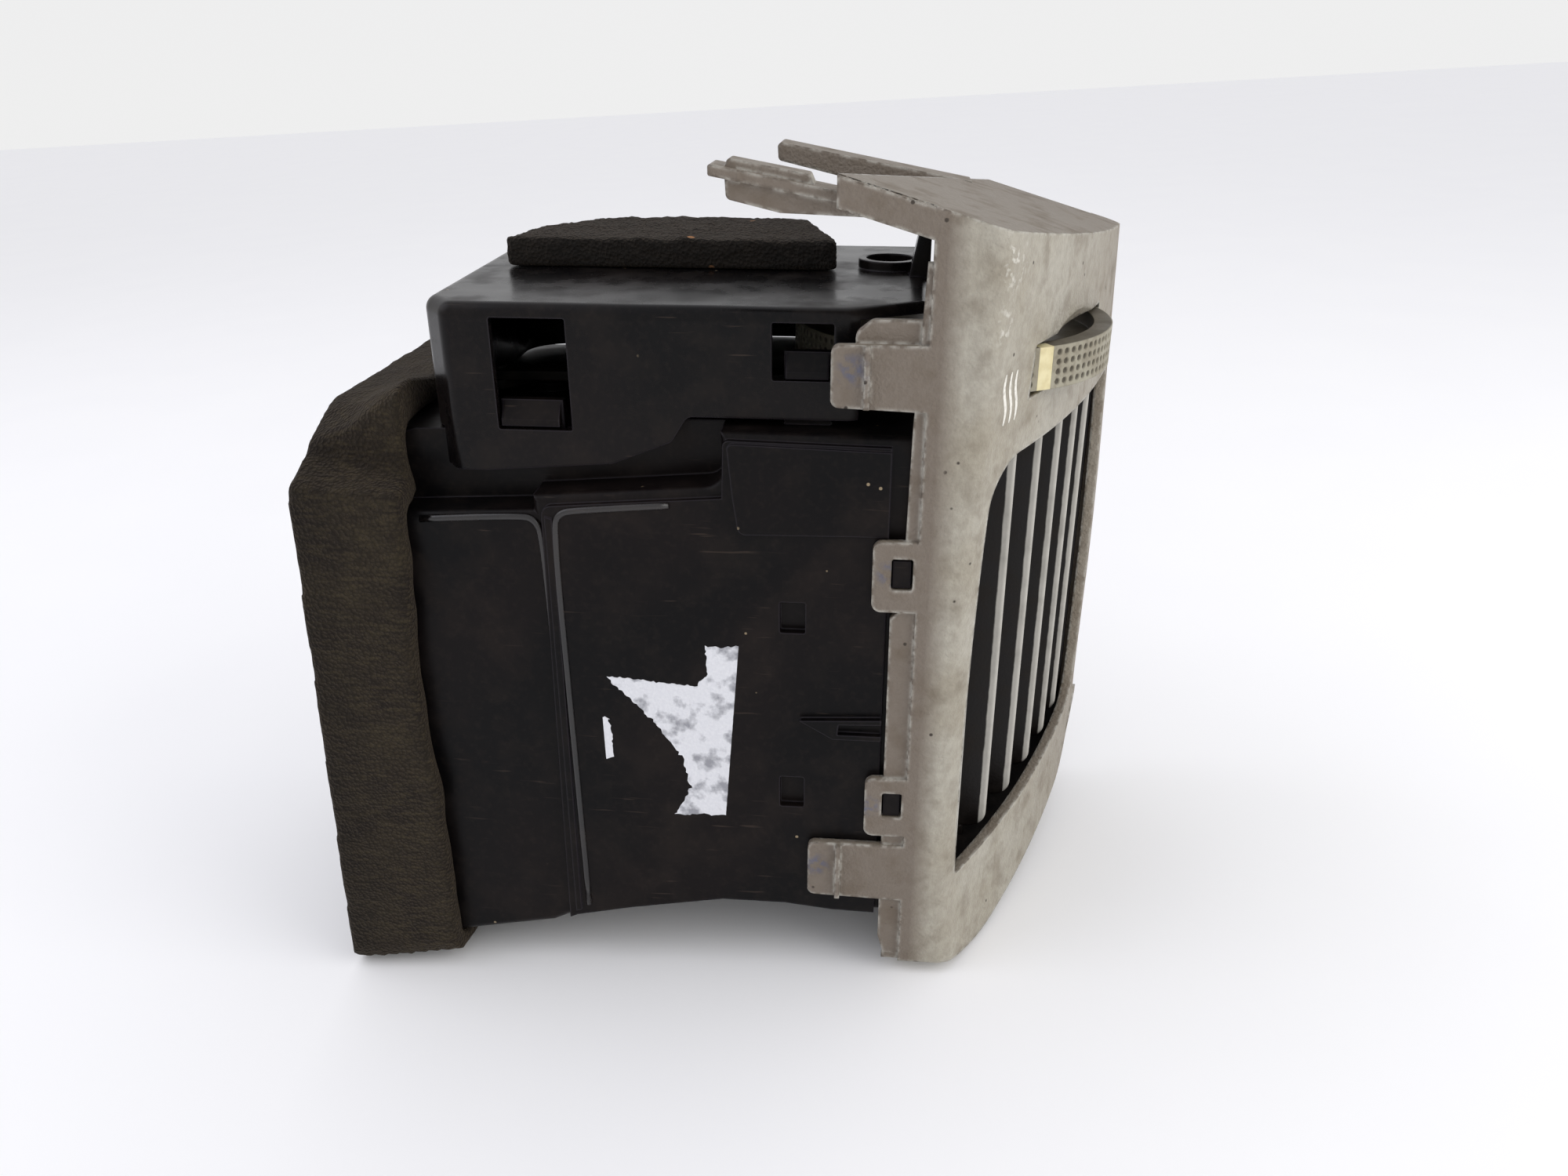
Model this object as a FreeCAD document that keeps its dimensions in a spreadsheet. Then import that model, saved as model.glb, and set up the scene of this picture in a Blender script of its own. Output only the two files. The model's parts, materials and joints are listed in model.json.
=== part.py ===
import FreeCAD, Part
import math
import os
import Sketcher
from FreeCAD import Placement, Rotation, Vector

# Car dashboard air vent: curved bezel, two sets of vanes, thumbwheel, shutter, duct and foam seals.
# Working frame: X across from the near side to the far side, Y to the rear of the duct, Z up the bezel.
# The finished pieces lean together so that the foam and the bezel stand on one level surface.

document = FreeCAD.newDocument("AirVent")

driving = {
    # face of the bezel: an upright cylinder, seen in plan
    "face_radius": 268.2,
    "face_centre_x": 149.7,
    "face_centre_y": 190.2,
    "bezel_width": 82.8,
    "bezel_wall": 2.2,
    "near_corner_radius": 5.0,
    "far_corner_radius": 3.5,
    "top_front_z": 65.3,
    "top_slope": 0.3,
    "clip_thick": 1.6,
    # duct
    "duct_near_x": 3.0,
    "duct_width": 76.0,
    "duct_wall": 1.8,
    "skin_thick": 1.2,
    # upper cover
    "cover_near_x": 7.0,
    "cover_far_x": 78.0,
    "cover_low_z": 18.5,
    "cover_top_z": 49.0,
    "cover_wall": 1.8,
    # vanes and their frame
    "frame_wall": 1.2,
    "frame_low_z": -70.0,
    "frame_top_z": 25.8,
    "vane_thick": 1.8,
    "vane_pitch": 11.6,
    "vane_pin_radius": 1.25,
    "link_thick": 1.8,
    "link_pin_radius": 0.7,
    "running_clearance": 0.06,
    # thumbwheel
    "wheel_radius": 31.0,
    "wheel_low_z": 33.4,
    "wheel_thick": 7.8,
    "wheel_pin_radius": 2.0,
    # shutter
    "arm_length": 12.0,
    "arm_angle": 140.0,
    "shaft_radius": 2.5,
    "flap_thick": 1.8,
    "felt_thick": 1.2,
    "rod_thick": 1.8,
    "rod_pin_radius": 1.5,
    # foam
    "foam_thick": 4.0,
    "pad_thick": 5.8,
    "label_thick": 0.12,
}

sheet = document.addObject("Spreadsheet::Sheet", "Sizes")
for row, (alias, value) in enumerate(driving.items(), start=1):
    sheet.set("A%d" % row, alias)
    sheet.set("B%d" % row, str(value))
    sheet.setAlias("B%d" % row, alias)
document.recompute()


def size(alias):
    return float(sheet.get(alias))


pieces = []


# ---- small helpers for sketches and features

def new_body(label):
    body = document.addObject("PartDesign::Body", label)
    body.Label = label
    body.AllowCompound = True
    pieces.append(body)
    return body


def bind(thing, prop, value):
    # a text value is an expression on the sheet, anything else is a plain number
    if isinstance(value, str):
        thing.setExpression(prop, value)
    else:
        setattr(thing, prop, value)


def sketch_on(body, role, name, offset=0.0):
    plane = next(f for f in body.Origin.OriginFeatures if f.Role == role)
    profile = body.newObject("Sketcher::SketchObject", name)
    profile.AttachmentSupport = [(plane, "")]
    profile.MapMode = "FlatFace"
    if isinstance(offset, str):
        profile.setExpression("AttachmentOffset.Base.z", offset)
    else:
        profile.AttachmentOffset = Placement(Vector(0, 0, offset), Rotation())
    return profile


def fixed(profile, curve):
    index = profile.addGeometry(curve, False)
    profile.addConstraint(Sketcher.Constraint("Block", index))


def polyline(profile, corners):
    # closed outline; a corner is (x, y) or (x, y, rounding radius)
    count = len(corners)
    starts = []
    ends = []
    arcs = []
    for i, corner in enumerate(corners):
        here = Vector(corner[0], corner[1], 0)
        radius = corner[2] if len(corner) > 2 else 0
        if radius == 0:
            starts.append(here)
            ends.append(here)
            arcs.append(None)
            continue
        before = Vector(corners[i - 1][0], corners[i - 1][1], 0) - here
        after = Vector(corners[(i + 1) % count][0], corners[(i + 1) % count][1], 0) - here
        before.normalize()
        after.normalize()
        half = before.getAngle(after) / 2
        reach = radius / math.tan(half)
        middle = before + after
        middle.normalize()
        top = here + middle * (radius / math.sin(half) - radius)
        starts.append(here + before * reach)
        ends.append(here + after * reach)
        arcs.append(top)
    for i in range(count):
        if arcs[i] is not None:
            fixed(profile, Part.Arc(starts[i], arcs[i], ends[i]))
        following = starts[(i + 1) % count]
        if ends[i].distanceToPoint(following) > 1e-6:
            fixed(profile, Part.LineSegment(ends[i], following))


def rectangle(profile, x0, y0, x1, y1, radius=0):
    polyline(profile, [(x0, y0, radius), (x1, y0, radius), (x1, y1, radius), (x0, y1, radius)])


def circle(profile, x, y, radius):
    value = radius if not isinstance(radius, str) else 1.0
    index = profile.addGeometry(Part.Circle(Vector(x, y, 0), Vector(0, 0, 1), value), False)
    row = profile.addConstraint(Sketcher.Constraint("Radius", index, value))
    profile.addConstraint(Sketcher.Constraint("DistanceX", -1, 1, index, 3, x))
    profile.addConstraint(Sketcher.Constraint("DistanceY", -1, 1, index, 3, y))
    if isinstance(radius, str):
        profile.setExpression("Constraints[%d]" % row, radius)


def pad(body, profile, length, reverse=False, both=False):
    feature = body.newObject("PartDesign::Pad", profile.Name + "_pad")
    feature.Profile = profile
    bind(feature, "Length", length)
    feature.Reversed = reverse
    feature.Midplane = both
    document.recompute()
    return feature


def cut(body, profile, length, reverse=False, both=False):
    # a cut that removes nothing points the wrong way, so it stops the build
    before = body.Shape.Volume
    feature = body.newObject("PartDesign::Pocket", profile.Name + "_cut")
    feature.Profile = profile
    bind(feature, "Length", length)
    feature.Reversed = reverse
    feature.Midplane = both
    document.recompute()
    if not body.Shape.Volume < before - 1e-3:
        raise RuntimeError("cut removed nothing: " + profile.Name)
    return feature


def cut_loft(body, name, rings):
    # ruled cut between outlines drawn across Y
    profiles = []
    for index, (y, corners) in enumerate(rings):
        profile = sketch_on(body, "XZ_Plane", name + str(index), -y)
        polyline(profile, corners)
        profiles.append(profile)
    before = body.Shape.Volume
    feature = body.newObject("PartDesign::SubtractiveLoft", name)
    feature.Profile = profiles[0]
    feature.Sections = profiles[1:]
    feature.Ruled = True
    document.recompute()
    if not body.Shape.Volume < before - 1e-3:
        raise RuntimeError("cut removed nothing: " + name)
    return feature


def round_edges(body, radius, chosen, name):
    # fillet on the edges whose middle point the test accepts
    base = body.Tip
    names = []
    for index, edge in enumerate(base.Shape.Edges, start=1):
        middle = edge.valueAt((edge.FirstParameter + edge.LastParameter) / 2)
        if chosen(edge, middle):
            names.append("Edge%d" % index)
    feature = body.newObject("PartDesign::Fillet", name)
    feature.Base = (base, names)
    bind(feature, "Radius", radius)
    document.recompute()
    if "Invalid" in feature.State or not feature.Shape.isValid():
        raise RuntimeError("fillet failed: " + name)
    return feature


def at(x, y, z):
    return Placement(Vector(x, y, z), Rotation())


# ---- shared geometry

centre = Vector(size("face_centre_x"), size("face_centre_y"), 0)
face_radius = size("face_radius")
width = size("bezel_width")
wall = size("bezel_wall")


def face_y(x, inset=0.0, move=(0.0, 0.0)):
    # Y of the face cylinder at x, shrunk by inset, with its axis moved in X and Y
    radius = face_radius - inset
    return centre.y + move[1] - math.sqrt(radius ** 2 - (x - centre.x - move[0]) ** 2)


def face_arc(x0, x1, inset=0.0, move=(0.0, 0.0)):
    middle = (x0 + x1) / 2
    ends = [Vector(x, face_y(x, inset, move), 0) for x in (x0, middle, x1)]
    return Part.Arc(*ends)


def face_slope(x):
    return (x - centre.x) / math.sqrt(face_radius ** 2 - (x - centre.x) ** 2)


def face_move(near_shift, far_shift):
    # move of the cylinder's axis that shifts the near and the far edge of the face by these amounts
    near_slope = face_slope(0.0)
    far_slope = face_slope(width)
    across = (near_shift - far_shift) / (far_slope - near_slope)
    return (across, near_shift + near_slope * across)


def top_z(y):
    # upper surface of the top plate
    return size("top_front_z") + size("top_slope") * (y + 29.2)


vane_count = 6
first_vane_x = 11.4
axis_inset = 8.6
vane_x = [first_vane_x + size("vane_pitch") * i for i in range(vane_count)]
vane_axes = [(x, face_y(x, axis_inset)) for x in vane_x]

rear_axis_y = -10.0
rear_axis_z = [-57.0, -39.5, -22.0, -4.5, 13.0]

wheel_axis = (43.2, -29.6)
shutter_axis = (41.0, 52.0)


# ---- bezel

def bezel_section(body, name, height, move):
    # channel outline at one height: rounded front corners, curved face, short side walls
    profile = sketch_on(body, "XY_Plane", name, height)
    back_near = -24.0
    back_far = -61.0

    def corner(x, radius):
        # centre of a corner arc that touches the side wall and the face cylinder
        reach = face_radius - size(radius)
        return Vector(x, centre.y + move[1] - math.sqrt(reach ** 2 - (x - centre.x - move[0]) ** 2), 0)

    near = corner(size("near_corner_radius"), "near_corner_radius")
    far = corner(width - size("far_corner_radius"), "far_corner_radius")
    middle_of_face = Vector(centre.x + move[0], centre.y + move[1], 0)

    def side(inset):
        near_radius = size("near_corner_radius") - inset
        far_radius = size("far_corner_radius") - inset
        near_out = (near - middle_of_face).normalize()
        far_out = (far - middle_of_face).normalize()
        p0 = Vector(inset, back_near, 0)
        p1 = Vector(inset, near.y, 0)
        p2 = near + near_out * near_radius
        p3 = far + far_out * far_radius
        p4 = Vector(width - inset, far.y, 0)
        p5 = Vector(width - inset, back_far, 0)
        turn_near = (Vector(-1, 0, 0) + near_out).normalize()
        turn_far = (Vector(1, 0, 0) + far_out).normalize()
        half_x = (p2.x + p3.x) / 2
        curves = [
            Part.LineSegment(p0, p1),
            Part.Arc(p1, near + turn_near * near_radius, p2),
            Part.Arc(p2, Vector(half_x, face_y(half_x, inset, move), 0), p3),
            Part.Arc(p3, far + turn_far * far_radius, p4),
            Part.LineSegment(p4, p5),
        ]
        return curves, p0, p5

    outer, outer_start, outer_end = side(0.0)
    inner, inner_start, inner_end = side(wall)
    for curve in outer:
        fixed(profile, curve)
    fixed(profile, Part.LineSegment(outer_end, inner_end))
    for curve in inner:
        fixed(profile, curve)
    fixed(profile, Part.LineSegment(inner_start, outer_start))
    return profile


# forward bow of the near and far edges at each height: the near edge leans out at the top, the far edge back
bow = [(-92.0, -3.0, -3.0), (-62.0, 0.0, 0.0), (-5.0, 0.0, 0.0), (28.0, -1.8, 0.9), (50.0, -3.6, 1.4),
       (76.0, -3.8, 2.2)]
top_move = face_move(-3.7, 2.0)
foot_move = face_move(-1.5, -1.5)
housing_move = face_move(-2.0, 1.0)
# lower outline of the bezel in front view, (x, z, rounding)
foot_thick = 1.8
foot = [(-6.0, -84.0), (7.0, -88.4, 40.0), (32.0, -83.8, 60.0), (64.0, -77.5, 30.0), (82.8, -64.0)]


def plan_block(body, name, low, high, move, depth_near, depth_far):
    # block behind the face, from the middle of the wall to a straight back line
    profile = sketch_on(body, "XY_Plane", name, low)
    x0 = wall / 2
    x1 = width - wall / 2
    fixed(profile, face_arc(x0, x1, wall / 2, move))
    corners = [
        Vector(x1, face_y(x1, wall / 2, move), 0),
        Vector(x1, depth_far, 0),
        Vector(x0, depth_near, 0),
        Vector(x0, face_y(x0, wall / 2, move), 0),
    ]
    for start, end in zip(corners, corners[1:]):
        fixed(profile, Part.LineSegment(start, end))
    return pad(body, profile, high - low)


def make_bezel():
    body = new_body("bezel")
    slab = size("bezel_wall")
    # top plate: a block cut to a sloping slab
    plan_block(body, "TopBlock", 44.0, 76.0, top_move, -8.3, -38.0)
    under = sketch_on(body, "YZ_Plane", "UnderTop")
    polyline(under, [(-80, 40), (0, 40), (0, top_z(0) - slab), (-80, top_z(-80) - slab)])
    cut(body, under, 2 * width, both=True)
    # foot: a block cut to a curved strip
    plan_block(body, "FootBlock", -92.0, -60.0, foot_move, -20.5, -64.5)
    over = sketch_on(body, "XZ_Plane", "OverFoot")
    raised = [(x, z + foot_thick) + tuple(rest) for x, z, *rest in foot]
    polyline(over, raised + [(90, -64 + foot_thick), (90, -50), (-6, -50)])
    cut(body, over, 200.0, both=True)
    # curved shell
    sections = []
    for index, (height, near_shift, far_shift) in enumerate(bow):
        sections.append(bezel_section(body, "Shell%d" % index, height, face_move(near_shift, far_shift)))
    shell = body.newObject("PartDesign::AdditiveLoft", "Shell")
    shell.Profile = sections[0]
    shell.Sections = sections[1:]
    document.recompute()
    # trim above the top plate and below the foot
    above = sketch_on(body, "YZ_Plane", "AboveTop")
    polyline(above, [(-90, top_z(-90)), (0, top_z(0)), (0, 90), (-90, 90)])
    cut(body, above, 2 * width, both=True)
    below = sketch_on(body, "XZ_Plane", "BelowFoot")
    polyline(below, foot + [(90, -64), (90, -100), (-6, -100)])
    cut(body, below, 200.0, both=True)
    return body


def finish_bezel(body):
    slab = size("bezel_wall")
    # housing behind the face for the thumbwheel
    housing = sketch_on(body, "XY_Plane", "WheelHousing", 28.6)
    x0 = 13.0
    x1 = 62.0
    front = 1.0
    rear = 7.0
    fixed(housing, face_arc(x0, x1, front, housing_move))
    fixed(housing, Part.LineSegment(Vector(x1, face_y(x1, front, housing_move), 0), Vector(x1, face_y(x1, rear), 0)))
    fixed(housing, face_arc(x0, x1, rear))
    fixed(housing, Part.LineSegment(Vector(x0, face_y(x0, rear), 0), Vector(x0, face_y(x0, front, housing_move), 0)))
    pad(body, housing, 19.0)
    # hollow in the face round the wheel
    scoop = body.newObject("PartDesign::SubtractiveEllipsoid", "Scoop")
    scoop.Radius1 = 8.2
    scoop.Radius2 = 24.0
    scoop.Radius3 = 6.0
    turn = math.degrees(math.atan2(face_y(37) - face_y(33), 4.0))
    scoop.Placement = Placement(Vector(35.5, face_y(35.5) - 5.2, 38.2), Rotation(Vector(0, 0, 1), turn))
    document.recompute()
    # slot that the wheel turns in
    slot = sketch_on(body, "XY_Plane", "WheelSlot", 32.4)
    circle(slot, wheel_axis[0], wheel_axis[1], "Sizes.wheel_radius + 0.7")
    cut(body, slot, "Sizes.wheel_thick + 1.8", reverse=True)
    # opening for the air
    opening = sketch_on(body, "XZ_Plane", "Opening")
    polyline(opening, [(3.8, -65.6, 1.0), (34.0, -64.2, 60.0), (75.2, -60.6, 9.0), (75.2, 23.2, 3.0),
                       (4.9, 22.6, 9.0)])
    cut(body, opening, 80.0, reverse=True)
    # inner flange of the near side wall
    flange = sketch_on(body, "YZ_Plane", "NearFlange", 0.8)
    polyline(flange, [(-27.0, -84.6), (-20.8, -84.4), (-19.6, -80.0), (-19.4, -6.0), (-21.4, -4.0), (-22.0, 30.0),
                      (-23.2, 58.0), (-29.0, 58.0)])
    pad(body, flange, 1.8)
    # lip along the near edge of the top plate
    lip = sketch_on(body, "YZ_Plane", "TopLip")
    polyline(lip, [(-30.0, top_z(-30) - 5.2), (-8.3, top_z(-8.3) - 5.2), (-8.3, top_z(-8.3) - 0.2),
                   (-30.0, top_z(-30) - 0.2)])
    pad(body, lip, slab)
    # snap tabs and snap loops on the near side wall
    tabs = [(-7.8, 34.0, 44.7), (-4.8, -69.4, -56.5)]
    for number, (tip, low, high) in enumerate(tabs):
        tab = sketch_on(body, "YZ_Plane", "SnapTab%d" % number)
        polyline(tab, [(tip, low, 1.5), (tip, high, 1.5), (-24.5, high), (-24.5, low - 0.6)])
        pad(body, tab, "Sizes.clip_thick")
        ridge = sketch_on(body, "YZ_Plane", "SnapRidge%d" % number, -1.2)
        rectangle(ridge, tip - 6.6, low, tip - 5.6, high)
        pad(body, ridge, 1.6)
    lug = sketch_on(body, "YZ_Plane", "Lug", 1.6)
    polyline(lug, [(-11.8, 43.0), (-11.8, 46.4, 2.0), (-14.6, 48.6, 2.0), (-24.6, 48.6), (-24.6, 43.0)])
    pad(body, lug, "Sizes.clip_thick")
    for number, (low, high) in enumerate([(-4.2, 9.6), (-54.0, -40.6)]):
        loop = sketch_on(body, "YZ_Plane", "SnapLoop%d" % number)
        polyline(loop, [(-15.9, low, 1.8), (-15.9, high, 1.8), (-24.5, high), (-24.5, low)])
        pad(body, loop, "Sizes.clip_thick")
        window = sketch_on(body, "YZ_Plane", "LoopWindow%d" % number)
        rectangle(window, -23.2, low + 4.4, -19.3, high - 3.2, 0.5)
        cut(body, window, 2.8, reverse=True)
    # two tabs that reach back over the cover
    far_tab = sketch_on(body, "YZ_Plane", "FarTab", 60.0)
    polyline(far_tab, [(6.6, 71.8, 0.9), (6.4, 68.2, 0.9), (-8.0, 64.8), (-33.0, 60.4), (-33.0, 64.4)])
    pad(body, far_tab, 9.0)
    near_tab = sketch_on(body, "YZ_Plane", "NearTab", 5.0)
    polyline(near_tab, [(12.9, 72.4, 0.4), (12.9, 70.6, 0.4), (-21.0, 64.2), (-21.0, 66.0)])
    pad(body, near_tab, 8.0)
    rib = sketch_on(body, "YZ_Plane", "NearTabRib", 6.0)
    polyline(rib, [(10.3, 71.0), (10.1, 66.9, 1.0), (1.2, 64.8), (-14.8, 64.2), (-21.0, 63.0), (-21.0, 65.4)])
    pad(body, rib, 1.6)
    boss = sketch_on(body, "YZ_Plane", "TabBoss", 6.6)
    polyline(boss, [(10.4, 71.5), (9.8, 73.2, 0.6), (-3.6, 70.8, 0.6), (-4.4, 69.0)])
    pad(body, boss, 4.8)
    return body


# ---- duct

def ledge_z(y):
    # height of the low near ledge: the front part stands a little higher than the rear part
    return 12.3 + (44.0 - y) * 0.083 + 3.0 if y < 46.5 else 12.3 - (y - 46.5) * 0.05


duct_floor = [(93.0, -92.2), (50.4, -83.6), (45.0, -80.8), (33.3, -78.0), (13.1, -74.2), (0.0, -74.2),
              (-10.0, -75.4), (-62.0, -76.0)]
duct_roof = [(-62.0, 28.0), (20.0, 28.0), (45.0, 25.5), (71.0, 24.9), (93.0, 22.0)]


def along(line, y):
    # height of an outline at y
    for (y0, z0), (y1, z1) in zip(line, line[1:]):
        if min(y0, y1) <= y <= max(y0, y1):
            return z0 + (z1 - z0) * (y - y0) / (y1 - y0)
    raise ValueError("y is outside the outline")


def make_duct():
    body = new_body("duct")
    near_x = size("duct_near_x")
    far_x = near_x + size("duct_width")
    thick = size("duct_wall")
    side = sketch_on(body, "YZ_Plane", "DuctSide", "Sizes.duct_near_x")
    polyline(side, duct_floor + duct_roof)
    pad(body, side, "Sizes.duct_width")
    # low ledge along the near top corner, with a curved shoulder at its front end
    notch = sketch_on(body, "YZ_Plane", "Ledge", "Sizes.duct_near_x")
    polyline(notch, [(100.0, ledge_z(100)), (46.5, ledge_z(46.6)), (46.5, ledge_z(46.4)), (11.0, 18.0, 4.0),
                     (12.5, 40.0), (100.0, 40.0)])
    cut(body, notch, 8.0, reverse=True)
    # rounded long edges on the near and far sides
    def long_edge(edge, middle):
        on_side = abs(middle.x - near_x) < 0.01 or abs(middle.x - far_x) < 0.01
        return on_side and -60 < middle.y < 92
    round_edges(body, 1.6, long_edge, "LongEdges")
    # front end follows the face
    front = sketch_on(body, "XY_Plane", "FrontCut", -100.0)
    x0 = -5.0
    x1 = 90.0
    fixed(front, face_arc(x0, x1, 9.4))
    corners = [Vector(x1, face_y(x1, 9.4), 0), Vector(x1, -90, 0), Vector(x0, -90, 0),
               Vector(x0, face_y(x0, 9.4), 0)]
    for start, end in zip(corners, corners[1:]):
        fixed(front, Part.LineSegment(start, end))
    cut(body, front, 200.0, reverse=True)
    # hollow: a wide lower part and a narrower upper part beside the ledge
    lower = sketch_on(body, "YZ_Plane", "LowerHollow", near_x + thick)
    inner_floor = [(y, z + thick) for y, z in duct_floor]
    inner_floor[0] = (94.0, inner_floor[0][1] - 0.2)
    polyline(lower, inner_floor + [(-62.0, 26.2), (9.2, 26.2), (9.2, 16.2), (44.7, 12.6), (44.7, 10.4),
                                   (94.0, 8.0)])
    cut(body, lower, "Sizes.duct_width - 2 * Sizes.duct_wall", reverse=True)
    upper = sketch_on(body, "YZ_Plane", "UpperHollow", near_x + 8.0 + thick)
    polyline(upper, [(0.0, 0.0), (0.0, 26.2), (20.0, 26.2), (45.0, 23.7), (71.0, 23.1), (71.0, 0.0)])
    cut(body, upper, "Sizes.duct_width - 8 - 2 * Sizes.duct_wall", reverse=True)
    # near the mouth the upper near corner slopes away, outside and inside
    slope = 0.5
    cut_loft(body, "MouthSlope", [
        (70.0, [(9.0, 23.9), (9.0, 30.0), (21.2, 30.0)]),
        (94.0, [(9.0, 15.4), (9.0, 30.0), (38.2, 30.0)])])
    inner_near = near_x + 8.0 + thick
    inner_far = far_x - thick
    roof = 23.1
    rear_roof = 20.0
    rear_rise = 4.6
    cut_loft(body, "MouthHollow", [
        (70.9, [(inner_near, 0.0), (inner_near, roof - 1.0), (inner_near + 2.0, roof), (inner_far, roof),
                (inner_far, 0.0)]),
        (94.0, [(inner_near, 0.0), (inner_near, rear_roof - rear_rise), (inner_near + rear_rise / slope, rear_roof),
                (inner_far, rear_roof), (inner_far, 0.0)])])
    return body


def finish_duct(body):
    near_x = size("duct_near_x")
    skin_x = near_x - size("skin_thick")
    # prouder front part of the near side, with a bead down its rear edge
    skin = sketch_on(body, "YZ_Plane", "FrontSkin", skin_x)
    polyline(skin, [(-18.6, -75.0), (-10.0, -74.8), (0.0, -73.7), (13.1, -73.7), (33.3, -77.5), (44.8, -80.2),
                    (46.4, -81.0), (44.6, 13.6, 2.0), (11.4, 16.2), (11.0, 27.0, 1.0), (-18.6, 26.4)])
    pad(body, skin, "Sizes.skin_thick + 0.2")
    panel = sketch_on(body, "YZ_Plane", "RaisedPanel", skin_x - 0.7)
    polyline(panel, [(10.3, 26.6, 1.0), (-18.6, 25.8), (-18.6, 10.0), (-12.9, 10.0), (8.4, 9.6, 1.5),
                     (9.4, 16.8, 1.0)])
    pad(body, panel, 0.9)
    bead = sketch_on(body, "YZ_Plane", "StepBead", skin_x - 0.5)
    polyline(bead, [(44.0, 11.8), (42.6, 11.4), (43.6, -78.4), (44.8, -78.8)])
    pad(body, bead, 0.8)
    for number, (low, high) in enumerate([(-10.2, -3.8), (-49.3, -42.2)]):
        pocket = sketch_on(body, "YZ_Plane", "SidePocket%d" % number, skin_x)
        rectangle(pocket, -3.8, low, 1.0, high, 0.4)
        cut(body, pocket, 1.8, reverse=True)
    wedge = sketch_on(body, "YZ_Plane", "WedgeRib", skin_x - 1.4)
    polyline(wedge, [(-2.9, -28.4), (-18.6, -27.6), (-18.6, -28.6), (-10.4, -28.9), (-10.2, -31.2),
                     (-18.6, -31.2), (-18.6, -32.2), (-9.3, -32.2)])
    pad(body, wedge, 1.6)
    # hooks inside the snap loops of the bezel
    for number, (low, high) in enumerate([(0.6, 5.8), (-49.2, -44.2)]):
        hook = sketch_on(body, "XZ_Plane", "LoopHook%d" % number, 19.6)
        rectangle(hook, 0.5, low, near_x + 0.4, high)
        pad(body, hook, 3.2)
    # upstands and hooks for the windows of the cover
    for number, (front, rear, low, high) in enumerate([(41.0, 52.4, 24.0, 31.4), (-7.5, 0.8, 26.0, 41.2)]):
        upstand = sketch_on(body, "YZ_Plane", "Upstand%d" % number, 9.4)
        rectangle(upstand, front, low, rear, high)
        pad(body, upstand, 1.8)
        ramp = sketch_on(body, "XZ_Plane", "Ramp%d" % number, -rear + 0.4)
        polyline(ramp, [(9.5, high), (9.5, high - 4.4), (7.3, high - 4.4), (7.3, high - 3.2)])
        pad(body, ramp, rear - front - 0.8)
    # boss for the wheel pin, bosses for the shutter shaft
    boss = sketch_on(body, "XY_Plane", "WheelBoss", 26.3)
    circle(boss, wheel_axis[0], wheel_axis[1], 4.4)
    pad(body, boss, 6.5)
    bore = sketch_on(body, "XY_Plane", "WheelBossBore", 27.2)
    circle(bore, wheel_axis[0], wheel_axis[1], "Sizes.wheel_pin_radius")
    cut(body, bore, 10.0, reverse=True)
    top_boss = sketch_on(body, "XY_Plane", "ShaftTopBoss", 23.4)
    circle(top_boss, shutter_axis[0], shutter_axis[1], 5.4)
    pad(body, top_boss, 3.8)
    floor_boss = sketch_on(body, "XY_Plane", "ShaftFloorBoss", -82.4)
    circle(floor_boss, shutter_axis[0], shutter_axis[1], 5.4)
    pad(body, floor_boss, 12.2)
    shaft_bore = sketch_on(body, "XY_Plane", "ShaftBore", -79.2)
    circle(shaft_bore, shutter_axis[0], shutter_axis[1], "Sizes.shaft_radius + Sizes.running_clearance")
    cut(body, shaft_bore, 110.0, reverse=True)
    # flared lip that rounds off the stepped corner at the mouth
    lip = sketch_on(body, "XZ_Plane", "MouthLip", -93.0)
    polyline(lip, [(near_x, 8.0), (near_x, 12.4, 1.0), (11.2, 16.4), (12.5, 16.4), (12.5, 8.0)])
    pad(body, lip, 4.0)
    # sills that the closed flap passes over
    stop_y = shutter_axis[1]
    sill = sketch_on(body, "XZ_Plane", "Sill", -stop_y + 6.6)
    rectangle(sill, near_x + 1.0, -79.6, shutter_axis[0] - 5.0, -70.4)
    pad(body, sill, 1.6)
    far_sill = sketch_on(body, "XZ_Plane", "FarSill", -stop_y - 5.0)
    rectangle(far_sill, shutter_axis[0] + 5.0, -83.6, near_x + size("duct_width") - 1.0, -70.4)
    pad(body, far_sill, 1.6)
    return body


# ---- upper cover

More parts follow.
